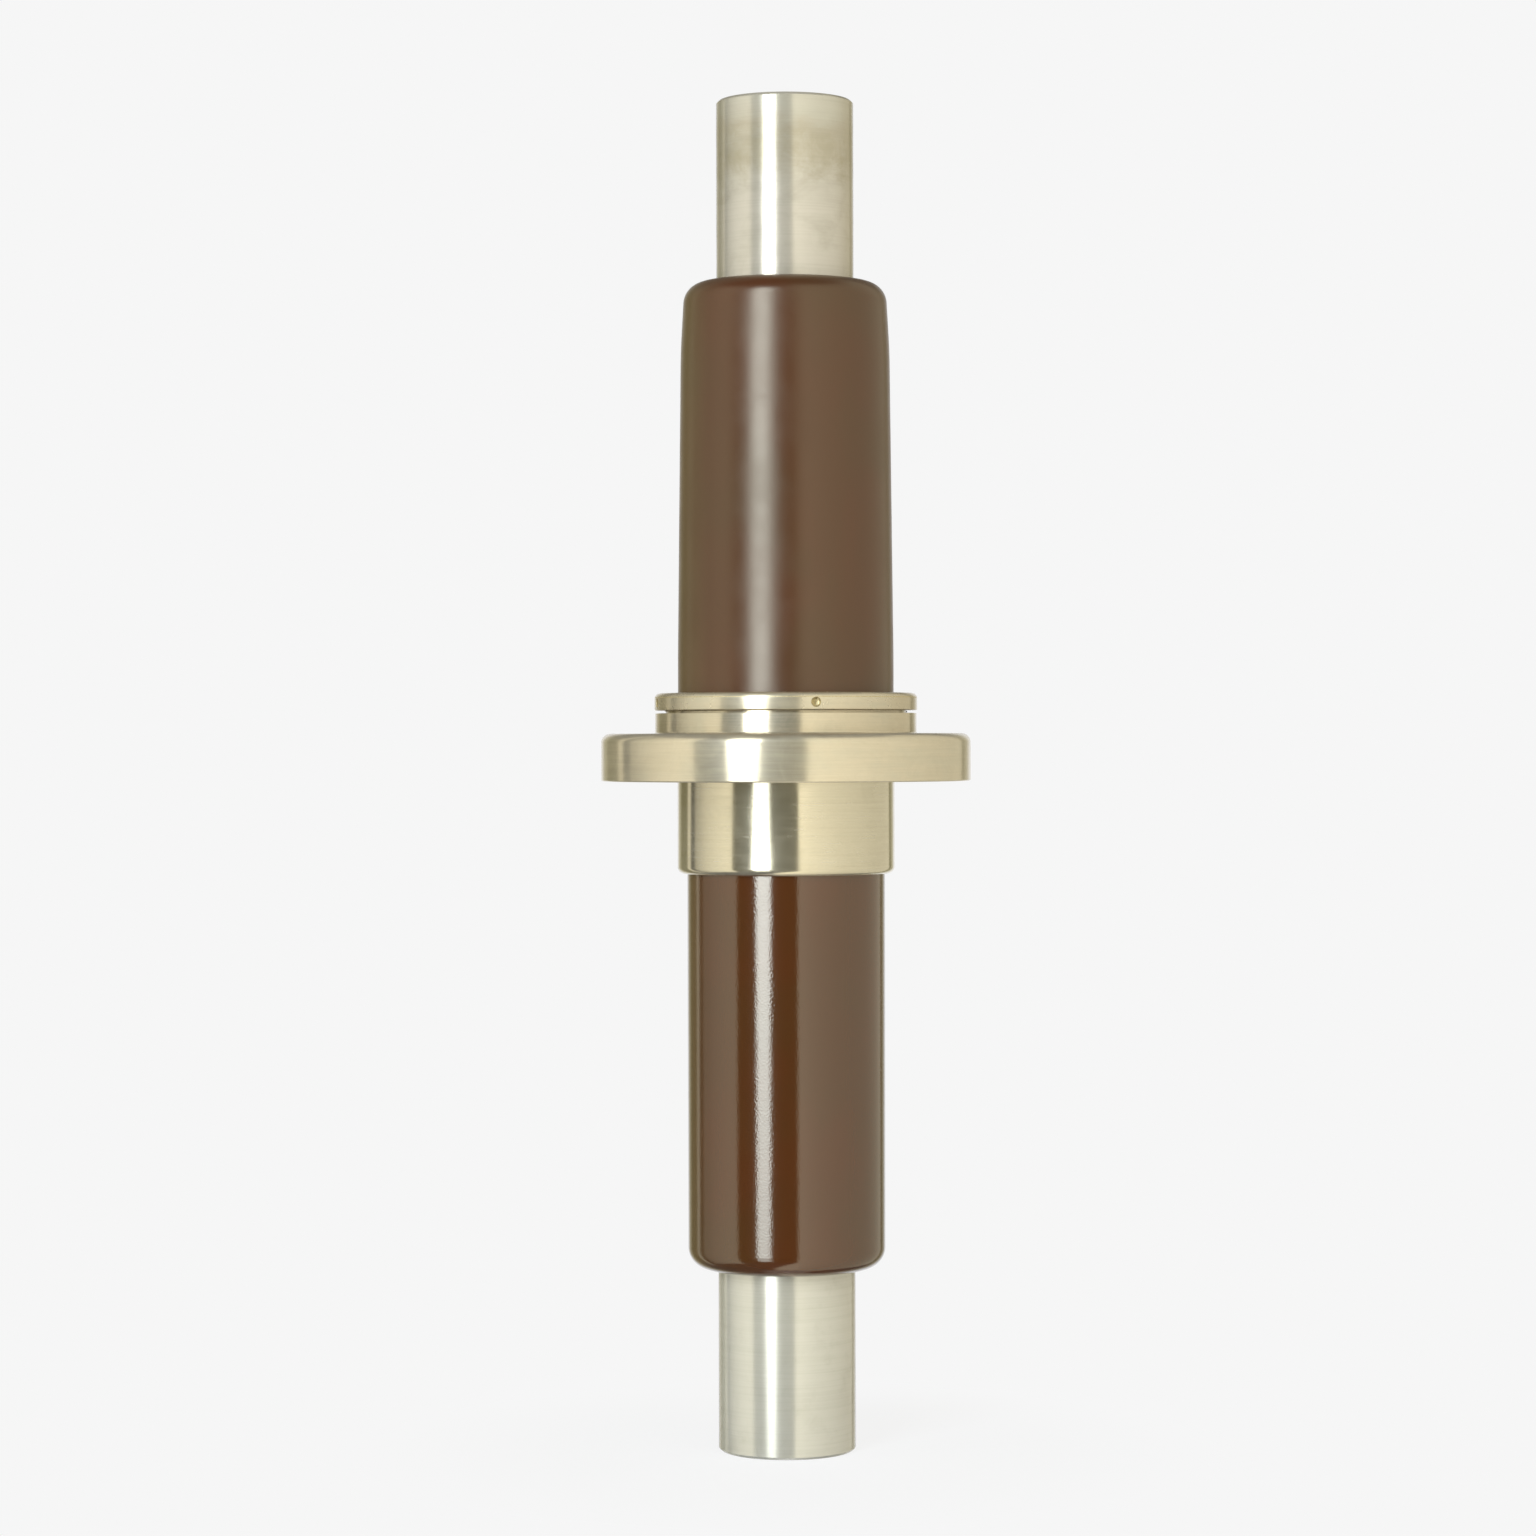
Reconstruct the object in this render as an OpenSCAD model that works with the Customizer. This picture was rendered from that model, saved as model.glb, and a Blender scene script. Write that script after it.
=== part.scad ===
// Through bushing for a power transformer: a silver-plated copper conductor in an
// insulating body, held in a turned brass flange by a ring nut.
// The origin is the centre of the flange's underside, and +Z points to the air side.

/* [Conductor] */
// Diameter of the bare conductor at both ends
conductor_d = 80; // [50:0.5:120]
// Bare length above the insulating body
upper_stem_len = 105.7; // [40:0.1:200]
// Bare length below the insulating body
lower_stem_len = 106.5; // [40:0.1:200]
// Depth of the waist that keys the insulating body to the conductor
waist_depth = 0.5; // [0.3:0.1:2]
// Chamfer round both ends
stem_chamfer = 1.5; // [0.5:0.1:4]
// Mouth diameter of the lathe centre in each end face
centre_mouth_d = 12; // [8:0.5:20]
// Diameter of the pilot hole at the bottom of the lathe centre
centre_pilot_d = 5; // [3:0.5:7]
// Depth of the straight pilot hole
centre_pilot_len = 5; // [2:0.5:12]
// Included angle of the lathe centre
centre_angle = 60; // [60:5:90]

/* [Insulating body] */
// Wall over the conductor, along the straight stretch above the retaining ring
upper_body_wall = 22.9; // [19:0.1:36]
// Length of the straight stretch above the retaining ring
upper_straight_len = 22.4; // [5:0.1:60]
// Length of the long slight taper above the straight stretch
long_taper_len = 176.7; // [60:0.1:260]
// Diameter lost over the long taper
long_taper_drop = 4; // [0:0.1:6]
// Length of the short taper that ends the upper body
short_taper_len = 40.1; // [24:0.1:70]
// Diameter lost over the short taper, if it ran on to the end face
short_taper_drop = 4.5; // [0:0.1:6]
// Radius of the upper end's edge
upper_edge_r = 12.4; // [4:0.1:13]
// Wall over the conductor, inside the sleeve
lower_body_wall = 17.8; // [14:0.1:21]
// Length of the lower body under the sleeve
lower_body_len = 230; // [80:0.5:400]
// Diameter lost over the lower body, if it ran on to the end face
lower_body_drop = 0.4; // [0:0.1:4]
// Radius of the lower end's edge
lower_edge_r = 11.9; // [4:0.1:13]
// Step from the upper body out to the collar that the ring nut holds down
collar_step = 3.7; // [3:0.1:6]
// Chamfer on the collar's edges
collar_chamfer = 0.8; // [0.4:0.1:1.5]

/* [Flange] */
// Width of the wide flange outside the neck, with the bolt holes in its middle
flange_land = 31.5; // [25:0.5:60]
// Thickness of the wide flange
flange_t = 27.6; // [22:0.1:40]
// Radius of the wide flange's upper edge
flange_edge_r = 5.2; // [1:0.1:8]
// Chamfer of the wide flange's lower edge
flange_lower_chamfer = 0.6; // [0.3:0.1:2]
// Wall of the neck round the collar's bore
neck_wall = 9.45; // [7:0.05:13]
// Height of the neck above the wide flange
neck_h = 11.8; // [6:0.1:20]
// Fillet between the neck and the wide flange
neck_root_r = 1; // [0.4:0.1:2]
// Wall of the threaded spigot on top of the neck
spigot_wall = 4.1; // [3:0.1:5]
// Length of the sleeve under the wide flange
sleeve_len = 54; // [36:0.5:120]
// Wall of the sleeve
sleeve_wall = 5.35; // [5:0.05:9]
// Radius of the sleeve's lower edge
sleeve_edge_r = 4; // [1:0.1:4.2]
// Chamfer at the mouth of the sleeve's bore
sleeve_mouth_chamfer = 0.8; // [0.4:0.1:1]
// Height of the ledge that carries the collar, above the flange's underside
ledge_h = 12; // [9:0.1:16]
// Radial play between the insulating body and the flange's bores
fit_play = 0.2; // [0.1:0.05:0.4]

/* [Bolt holes] */
// Number of bolt holes
bolt_count = 8; // [4:1:12]
// Diameter of the bolt holes
bolt_hole_d = 14; // [9:0.5:15]

/* [Retaining ring] */
// Height of the ring nut
ring_h = 10; // [9.5:0.1:16]
// Open gap between the ring nut and the neck
ring_gap = 1.7; // [0.8:0.1:3]
// Wall of the ring nut outside its thread
ring_wall = 5.6; // [5:0.1:9]
// Radius of the ring nut's upper edge
ring_edge_r = 3.2; // [0.5:0.1:3.6]
// Chamfer of the ring nut's lower edge
ring_lower_chamfer = 0.4; // [0.2:0.1:1]
// Thickness of the lip that presses on the washer
lip_t = 2.8; // [2:0.1:3.4]
// Radial play between the lip and the insulating body
lip_play = 0.4; // [0.2:0.1:0.8]
// Radial play of the thread, drawn at its mean diameter
thread_play = 0.1; // [0.05:0.05:0.2]
// Room left between the spigot's end and the lip
spigot_end_gap = 0.6; // [0.3:0.1:1]
// Number of holes for the pin spanner
spanner_hole_count = 4; // [2:1:8]
// Diameter of the spanner holes
spanner_hole_d = 5.2; // [3:0.1:5.6]
// Depth of the spanner holes' straight wall
spanner_hole_depth = 3.2; // [1.5:0.1:3.2]
// Height of the spanner holes' middle above the ring nut's underside
spanner_hole_rise = 4.3; // [3.2:0.1:5]
// Chamfer at the mouth of the spanner holes
spanner_hole_chamfer = 0.35; // [0.1:0.05:0.6]
// Angle from the front to the first spanner hole, towards +X
spanner_hole_angle = 13; // [0:1:89]
// Included angle of the drill tip
drill_tip_angle = 118; // [90:1:140]

/* [Seals] */
// Thickness of the gaskets under and over the collar
gasket_t = 2; // [1:0.1:3]
// Thickness of the washer that the ring nut turns on
washer_t = 1.5; // [1:0.1:2.5]
// Inset of the gaskets and the washer from the walls beside them
gasket_inset = 0.4; // [0.2:0.1:0.8]
// Cord diameter of the O-rings before they are squeezed
oring_cord_d = 3.5; // [3:0.1:3.8]
// Radial height of the O-rings when they are squeezed
oring_height = 2.85; // [2.5:0.05:2.9]
// Room beside the squeezed O-rings in their grooves, at each side
oring_side_play = 0.35; // [0.2:0.05:0.8]
// Distance from the ledge down to the middle of the upper O-ring
upper_oring_drop = 6; // [4:0.1:8]
// Distance from the sleeve's end up to the middle of the lower O-ring
lower_oring_rise = 12; // [8:0.1:20]

/* [Earth contact] */
// Depth of the groove that holds the contact band
band_groove_depth = 1.6; // [1.2:0.1:2.4]
// Axial length of the contact band
band_len = 8.8; // [7:0.1:11]
// Room above and below the contact band in its groove
band_end_play = 0.4; // [0.2:0.1:1]
// Thickness of the contact band
band_t = 0.4; // [0.3:0.05:0.6]
// Room between the contact band and what it bears on
band_play = 0.05; // [0.03:0.01:0.1]
// Number of slots that divide the band into springs
band_slot_count = 48; // [24:1:72]
// Width of the slots and of the band's open joint
band_slot_w = 1.2; // [0.8:0.1:2]
// Length of the slots along the band's height
band_slot_len = 6; // [3:0.1:6.5]

/* [Hidden] */
$fn = 144;
// Overrun of every cut
overrun = 1;

conductor_r = conductor_d / 2;
waist_r = conductor_r - waist_depth;
upper_body_r = conductor_r + upper_body_wall;
long_taper_end_r = upper_body_r - long_taper_drop / 2;
upper_end_r = long_taper_end_r - short_taper_drop / 2;
lower_body_r = conductor_r + lower_body_wall;
lower_end_r = lower_body_r - lower_body_drop / 2;
collar_r = upper_body_r + collar_step;

// Radii of the flange, from its bores outwards
sleeve_bore_r = lower_body_r + fit_play;
collar_bore_r = collar_r + fit_play;
sleeve_r = sleeve_bore_r + sleeve_wall;
neck_r = collar_bore_r + neck_wall;
spigot_r = collar_bore_r + spigot_wall;
flange_r = neck_r + flange_land;
bolt_circle_r = neck_r + flange_land / 2;

// Radii of the ring nut
ring_bore_r = spigot_r + thread_play;
ring_r = ring_bore_r + ring_wall;
lip_bore_r = upper_body_r + lip_play;

// Heights of the stack above the flange's underside
neck_top = flange_t + neck_h;
ring_bottom = neck_top + ring_gap;
ring_top = ring_bottom + ring_h;
lip_bottom = ring_top - lip_t;
spigot_top = lip_bottom - spigot_end_gap;
collar_bottom = ledge_h + gasket_t;
collar_top = lip_bottom - washer_t - gasket_t;
collar_middle = (collar_bottom + collar_top) / 2;

// Heights along the insulating body and the conductor
long_taper_start = ring_top + upper_straight_len;
short_taper_start = long_taper_start + long_taper_len;
body_top = short_taper_start + short_taper_len;
body_bottom = -sleeve_len - lower_body_len;
conductor_top = body_top + upper_stem_len;
conductor_bottom = body_bottom - lower_stem_len;

// O-rings: the cord keeps its section when it is squeezed, so its flat grows
cord_area = PI * pow(oring_cord_d / 2, 2);
oring_end_r = oring_height / 2;
oring_flat = (cord_area - PI * pow(oring_end_r, 2)) / oring_height;
oring_groove_len = oring_height + oring_flat + 2 * oring_side_play;
upper_oring_z = ledge_h - upper_oring_drop;
lower_oring_z = lower_oring_rise - sleeve_len;

// Contact band: its bow reaches from the collar to the groove's floor
band_groove_len = band_len + 2 * band_end_play;
band_floor_r = collar_bore_r + band_groove_depth;
band_crown_r = collar_r + band_play;
band_sagitta = band_floor_r - band_play - band_crown_r - band_t;
band_bow_r = (pow(band_len / 2, 2) + pow(band_sagitta, 2)) / (2 * band_sagitta);

// Angle by which a wall leans in from radius r0 to radius r1 over a length
function lean(r0, r1, len) = atan((r0 - r1) / len);
// Radius at which an edge's circle is centred, inside a leaning wall and an end face
function edge_centre(end_r, edge_r, angle) = end_r + edge_r * tan(angle) - edge_r / cos(angle);

// Section of a plain ring between two radii and two heights
module ring_section(r_in, r_out, z_low, z_high) {
    translate([r_in, z_low]) square([r_out - r_in, z_high - z_low]);
}

// What a round edge takes off a corner at [r, z]: quarter 0 is the outer upper
// corner, and the others follow anticlockwise
module edge_waste(r, z, edge_r, quarter) {
    side_r = (quarter == 0 || quarter == 3) ? 1 : -1;
    side_z = (quarter < 2) ? 1 : -1;
    translate([r - side_r * edge_r, z - side_z * edge_r]) rotate(90 * quarter)
        difference() {
            square(edge_r + overrun);
            circle(r = edge_r);
        }
}

// Fillet in an inner corner at [r, z] that opens outwards and upwards
module corner_fill(r, z, fillet_r) {
    translate([r - overrun, z - overrun]) difference() {
        square(fillet_r + overrun);
        translate([fillet_r + overrun, fillet_r + overrun]) circle(r = fillet_r);
    }
}

// Lathe centre in an end face that looks up at height 0
module lathe_centre() {
    cone_h = (centre_mouth_d - centre_pilot_d) / 2 / tan(centre_angle / 2);
    overrun_r = overrun * tan(centre_angle / 2);
    translate([0, 0, -cone_h])
        cylinder(h = cone_h + overrun, r1 = centre_pilot_d / 2, r2 = centre_mouth_d / 2 + overrun_r);
    translate([0, 0, -cone_h - centre_pilot_len])
        cylinder(h = centre_pilot_len + overrun, d = centre_pilot_d);
}

module conductor() {
    color([0.80, 0.78, 0.72]) difference() {
        rotate_extrude() polygon([
            [0, conductor_bottom],
            [conductor_r - stem_chamfer, conductor_bottom],
            [conductor_r, conductor_bottom + stem_chamfer],
            [conductor_r, body_bottom],
            [waist_r, body_bottom],
            [waist_r, body_top],
            [conductor_r, body_top],
            [conductor_r, conductor_top - stem_chamfer],
            [conductor_r - stem_chamfer, conductor_top],
            [0, conductor_top]
        ]);
        translate([0, 0, conductor_top]) lathe_centre();
        translate([0, 0, conductor_bottom]) mirror([0, 0, 1]) lathe_centre();
    }
}

module insulating_body_section() {
    upper_lean = lean(long_taper_end_r, upper_end_r, short_taper_len);
    upper_edge_centre = edge_centre(upper_end_r, upper_edge_r, upper_lean);
    upper_edge_z = body_top - upper_edge_r;
    lower_lean = lean(lower_body_r, lower_end_r, lower_body_len);
    lower_edge_centre = edge_centre(lower_end_r, lower_edge_r, lower_lean);
    lower_edge_z = body_bottom + lower_edge_r;
    difference() {
        union() {
            polygon([
                [waist_r, body_bottom],
                [lower_edge_centre, body_bottom],
                [
                    lower_edge_centre + lower_edge_r * cos(lower_lean),
                    lower_edge_z - lower_edge_r * sin(lower_lean)
                ],
                [lower_body_r, -sleeve_len],
                [lower_body_r, collar_bottom],
                [collar_r - collar_chamfer, collar_bottom],
                [collar_r, collar_bottom + collar_chamfer],
                [collar_r, collar_top - collar_chamfer],
                [collar_r - collar_chamfer, collar_top],
                [upper_body_r, collar_top],
                [upper_body_r, long_taper_start],
                [long_taper_end_r, short_taper_start],
                [
                    upper_edge_centre + upper_edge_r * cos(upper_lean),
                    upper_edge_z + upper_edge_r * sin(upper_lean)
                ],
                [upper_edge_centre, body_top],
                [waist_r, body_top]
            ]);
            translate([lower_edge_centre, lower_edge_z]) circle(r = lower_edge_r);
            translate([upper_edge_centre, upper_edge_z]) circle(r = upper_edge_r);
        }
        ring_section(0, waist_r, body_bottom - overrun, body_top + overrun);
    }
}

module insulating_body() {
    color([0.42, 0.30, 0.22]) rotate_extrude() insulating_body_section();
}

module flange_section() {
    difference() {
        union() {
            polygon([
                [sleeve_bore_r + sleeve_mouth_chamfer, -sleeve_len],
                [sleeve_r, -sleeve_len],
                [sleeve_r, 0],
                [flange_r - flange_lower_chamfer, 0],
                [flange_r, flange_lower_chamfer],
                [flange_r, flange_t],
                [neck_r, flange_t],
                [neck_r, neck_top],
                [spigot_r, neck_top],
                [spigot_r, spigot_top],
                [collar_bore_r, spigot_top],
                [collar_bore_r, ledge_h],
                [sleeve_bore_r, ledge_h],
                [sleeve_bore_r, sleeve_mouth_chamfer - sleeve_len]
            ]);
            corner_fill(neck_r, flange_t, neck_root_r);
        }
        edge_waste(flange_r, flange_t, flange_edge_r, 0);
        edge_waste(sleeve_r, -sleeve_len, sleeve_edge_r, 3);
        for (z = [upper_oring_z, lower_oring_z])
            ring_section(
                sleeve_bore_r - overrun, lower_body_r + oring_height,
                z - oring_groove_len / 2, z + oring_groove_len / 2
            );
        ring_section(
            collar_bore_r - overrun, band_floor_r,
            collar_middle - band_groove_len / 2, collar_middle + band_groove_len / 2
        );
    }
}

module flange() {
    color([0.84, 0.78, 0.62]) difference() {
        rotate_extrude() flange_section();
        for (i = [0 : bolt_count - 1])
            rotate([0, 0, (i + 1 / 2) * 360 / bolt_count])
                translate([bolt_circle_r, 0, -overrun])
                    cylinder(h = flange_t + 2 * overrun, d = bolt_hole_d);
    }
}

// Spanner hole along +X, from the ring nut's wall inwards
module spanner_hole() {
    tip_h = spanner_hole_d / 2 / tan(drill_tip_angle / 2);
    translate([ring_r - spanner_hole_depth, 0, 0]) rotate([0, 90, 0]) {
        cylinder(h = spanner_hole_depth + overrun, d = spanner_hole_d);
        mirror([0, 0, 1]) cylinder(h = tip_h, d1 = spanner_hole_d, d2 = 0);
        translate([0, 0, spanner_hole_depth - spanner_hole_chamfer])
            cylinder(
                h = spanner_hole_chamfer + overrun,
                r1 = spanner_hole_d / 2,
                r2 = spanner_hole_d / 2 + spanner_hole_chamfer + overrun
            );
    }
}

module retaining_ring() {
    color([0.84, 0.78, 0.62]) difference() {
        rotate_extrude() difference() {
            polygon([
                [ring_bore_r, ring_bottom],
                [ring_r - ring_lower_chamfer, ring_bottom],
                [ring_r, ring_bottom + ring_lower_chamfer],
                [ring_r, ring_top],
                [lip_bore_r, ring_top],
                [lip_bore_r, lip_bottom],
                [ring_bore_r, lip_bottom]
            ]);
            edge_waste(ring_r, ring_top, ring_edge_r, 0);
        }
        for (i = [0 : spanner_hole_count - 1])
            rotate([0, 0, spanner_hole_angle - 90 + i * 360 / spanner_hole_count])
                translate([0, 0, ring_bottom + spanner_hole_rise])
                    spanner_hole();
    }
}

module thrust_washer() {
    color([0.70, 0.70, 0.70]) rotate_extrude()
        ring_section(
            upper_body_r + gasket_inset, collar_bore_r - gasket_inset,
            lip_bottom - washer_t, lip_bottom
        );
}

module collar_gasket_upper() {
    color([0.12, 0.12, 0.12]) rotate_extrude()
        ring_section(
            upper_body_r + gasket_inset, collar_r - gasket_inset,
            collar_top, collar_top + gasket_t
        );
}

module collar_gasket_lower() {
    color([0.12, 0.12, 0.12]) rotate_extrude()
        ring_section(
            sleeve_bore_r + gasket_inset, collar_bore_r - gasket_inset,
            ledge_h, ledge_h + gasket_t
        );
}

// Squeezed O-ring with flats on the body and on the groove's floor
module oring(z) {
    middle_r = lower_body_r + oring_end_r;
    color([0.10, 0.10, 0.10]) rotate_extrude() translate([middle_r, z]) {
        translate([-oring_end_r, -oring_flat / 2]) square([oring_height, oring_flat]);
        for (side = [-1, 1])
            translate([0, side * oring_flat / 2]) circle(r = oring_end_r);
    }
}

module sleeve_oring_upper() {
    oring(upper_oring_z);
}

module sleeve_oring_lower() {
    oring(lower_oring_z);
}

// Bowed strip that joins the body's outer earthed layer to the flange
module earth_contact_band() {
    slot_h = band_floor_r - band_crown_r + overrun;
    color([0.72, 0.50, 0.32]) difference() {
        rotate_extrude() intersection() {
            translate([band_crown_r + band_t + band_bow_r, collar_middle]) difference() {
                circle(r = band_bow_r + band_t);
                circle(r = band_bow_r);
            }
            ring_section(
                band_crown_r - overrun, band_floor_r,
                collar_middle - band_len / 2, collar_middle + band_len / 2
            );
        }
        for (i = [1 : band_slot_count - 1])
            rotate([0, 0, i * 360 / band_slot_count])
                translate([band_crown_r - overrun, -band_slot_w / 2, collar_middle - band_slot_len / 2])
                    cube([slot_h + overrun, band_slot_w, band_slot_len]);
        translate([band_crown_r - overrun, -band_slot_w / 2, collar_middle - band_len / 2 - overrun])
            cube([slot_h + overrun, band_slot_w, band_len + 2 * overrun]);
    }
}

conductor();
insulating_body();
flange();
retaining_ring();
thrust_washer();
collar_gasket_lower();
collar_gasket_upper();
sleeve_oring_upper();
sleeve_oring_lower();
earth_contact_band();
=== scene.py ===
"""Transformer bushing: a silver-plated conductor bar in a brown resin body, held in a turned
brass flange by a ring nut, standing on its lower end in a plain pale studio.

Lengths are in metres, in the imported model's own frame: +Z runs along the conductor to the air
side, -Y points at the viewer, and the origin is the centre of the flange's underside.
"""

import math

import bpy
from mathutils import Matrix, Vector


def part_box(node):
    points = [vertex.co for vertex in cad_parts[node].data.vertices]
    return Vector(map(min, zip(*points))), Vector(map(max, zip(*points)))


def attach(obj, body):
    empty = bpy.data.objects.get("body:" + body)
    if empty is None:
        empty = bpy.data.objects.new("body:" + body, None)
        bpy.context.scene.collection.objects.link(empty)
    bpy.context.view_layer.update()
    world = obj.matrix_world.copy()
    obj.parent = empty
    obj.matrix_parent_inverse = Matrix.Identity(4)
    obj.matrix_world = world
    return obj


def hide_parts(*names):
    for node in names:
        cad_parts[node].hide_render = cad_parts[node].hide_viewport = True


bl_info = {
    "name": "Transformer bushing",
    "version": (1, 0, 0),
    "blender": (4, 5, 0),
    "location": "View3D > Sidebar > Bushing",
    "description": "Turns the bushing's brass, silver and resin pieces and lights them",
    "category": "Add Mesh",
}

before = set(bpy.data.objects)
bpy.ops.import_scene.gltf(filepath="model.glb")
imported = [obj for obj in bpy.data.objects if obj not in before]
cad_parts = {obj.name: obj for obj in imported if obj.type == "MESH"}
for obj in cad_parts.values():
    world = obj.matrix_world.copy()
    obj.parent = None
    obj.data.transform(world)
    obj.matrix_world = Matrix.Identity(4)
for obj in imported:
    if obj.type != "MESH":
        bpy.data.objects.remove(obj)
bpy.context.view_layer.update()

MM = 0.001
FULL_TURN = 2 * math.pi
BODY = "root"
WHITE = (1.0, 1.0, 1.0)

# Points closer than this are one point
WELD = MM / 1000

# How far a cutter runs past the face that it opens
OVERRUN = MM

# Walls that meet at a smaller angle than this shade as one
SMOOTH_ANGLE = math.radians(28)


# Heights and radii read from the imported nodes

def outer_radius(node):
    """The largest radius of a CAD node about the bushing's axis."""
    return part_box(node)[1].x


def bottom(node):
    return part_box(node)[0].z


def top(node):
    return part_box(node)[1].z


def middle(node):
    return (bottom(node) + top(node)) / 2


# Kinds of setting, with lengths given in millimetres and angles in degrees

def Length(name, description, millimetres):
    return bpy.props.FloatProperty(
        name=name, description=description, default=millimetres * MM, min=0, unit="LENGTH", precision=5
    )


def Angle(name, description, degrees):
    return bpy.props.FloatProperty(
        name=name, description=description, default=math.radians(degrees), subtype="ANGLE"
    )


def Colour(name, description, default):
    return bpy.props.FloatVectorProperty(
        name=name, description=description, default=default, size=3, min=0, max=1, subtype="COLOR"
    )


def Level(name, description, default):
    return bpy.props.FloatProperty(name=name, description=description, default=default, min=0)


def Share(name, description, default):
    return bpy.props.FloatProperty(
        name=name, description=description, default=default, min=0, max=1, subtype="FACTOR"
    )


def Count(name, description, default, least=1):
    return bpy.props.IntProperty(name=name, description=description, default=default, min=least)


class LatheSettings(bpy.types.PropertyGroup):
    """How finely the turned pieces are made"""

    segments: Count("Segments", "Steps of a full turn", 192, 24)
    ring_segments: Count("Ring nut segments", "Steps round the ring nut", 384, 24)
    arc_steps: Count("Arc steps", "Steps to a right angle along a large rounded edge", 12, 2)
    edge_steps: Count("Edge steps", "Steps to a right angle along a deburred edge", 3, 2)
    bend_steps: Count("Bend steps", "Steps of the soft bend between two tapers", 8, 2)
    slight_bend: Angle("Slight bend", "A smaller turn than this is a soft bend", 10)
    edge_break: Length("Edge break", "Radius left on every deburred edge", 0.25)
    guard: Length("Guard", "Where a wall's flat shading starts beside a round edge", 0.4)


class ConductorSizes(bpy.types.PropertyGroup):
    """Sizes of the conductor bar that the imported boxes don't give"""

    waist_depth: Length("Waist depth", "Depth of the waist inside the body", 0.5)
    chamfer: Length("Chamfer", "Chamfer round both ends", 1.5)
    centre_mouth_r: Length("Centre mouth radius", "Mouth of the lathe centres", 6)
    centre_pilot_r: Length("Centre pilot radius", "Pilot of the lathe centres", 2.5)
    centre_pilot_len: Length("Centre pilot length", "Depth of the straight pilot", 5)
    centre_half_angle: Angle("Centre half angle", "Half of the lathe centre's cone", 30)


class ResinSizes(bpy.types.PropertyGroup):
    """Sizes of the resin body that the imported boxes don't give"""

    upper_wall: Length("Upper wall", "Wall over the conductor above the ring nut", 22.9)
    straight_len: Length("Straight length", "Straight stretch above the ring nut", 22.4)
    short_taper_len: Length("Short taper length", "Taper that ends the upper body", 40.1)
    long_taper_drop: Length("Long taper drop", "Radius lost over the long taper", 2)
    short_taper_drop: Length("Short taper drop", "Radius lost over the short taper", 2.25)
    upper_edge_r: Length("Upper edge radius", "Round edge of the upper end", 12.4)
    lower_wall: Length("Lower wall", "Wall over the conductor inside the sleeve", 17.8)
    lower_drop: Length("Lower drop", "Radius lost over the lower body", 0.2)
    lower_edge_r: Length("Lower edge radius", "Round edge of the lower end", 11.9)
    collar_chamfer: Length("Collar chamfer", "Chamfer on the collar's edges", 0.8)
    taper_blend_r: Length("Taper blend radius", "Soft bend where the tapers meet", 350)


class FlangeSizes(bpy.types.PropertyGroup):
    """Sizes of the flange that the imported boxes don't give"""

    thickness: Length("Thickness", "Thickness of the wide flange", 27.6)
    edge_r: Length("Edge radius", "Round upper edge of the wide flange", 5.2)
    lower_chamfer: Length("Lower chamfer", "Chamfer of the wide flange's lower edge", 0.6)
    land: Length("Land", "Width of the wide flange outside the neck", 31.5)
    neck_h: Length("Neck height", "Height of the neck above the wide flange", 11.8)
    neck_root_r: Length("Neck root radius", "Fillet under the neck", 1)
    spigot_wall: Length("Spigot wall", "Wall of the threaded spigot", 4.1)
    sleeve_wall: Length("Sleeve wall", "Wall of the sleeve", 5.35)
    sleeve_edge_r: Length("Sleeve edge radius", "Round lower edge of the sleeve", 4)
    sleeve_root_r: Length("Sleeve root radius", "Fillet between sleeve and flange", 0.4)
    mouth_chamfer: Length("Mouth chamfer", "Chamfer at the sleeve's mouth", 0.8)
    fit_play: Length("Fit play", "Play between the body and the bores", 0.2)
    seal_inset: Length("Seal inset", "Room between gasket or washer and wall", 0.4)
    oring_side_play: Length("O-ring side play", "Room beside an O-ring in its groove", 0.35)
    band_end_play: Length("Band end play", "Room at the ends of the contact band", 0.4)
    bolt_count: Count("Bolt holes", "Number of bolt holes", 8)
    bolt_hole_segments: Count("Bolt hole segments", "Steps round a bolt hole", 64, 12)
    bolt_hole_r: Length("Bolt hole radius", "Radius of the bolt holes", 7)
    bolt_hole_chamfer: Length("Bolt hole chamfer", "Chamfer of the bolt holes", 0.6)
    thread_pitch: Length("Thread pitch", "Pitch of the spigot's thread", 1.5)
    thread_depth: Length("Thread depth", "Depth of the spigot's thread", 0.8)
    thread_flank_share: Share("Thread flank", "Share of the pitch that a flank takes", 0.42)
    thread_crest_share: Share("Thread crest", "Share of the pitch that the crest takes", 0.10)


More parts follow.
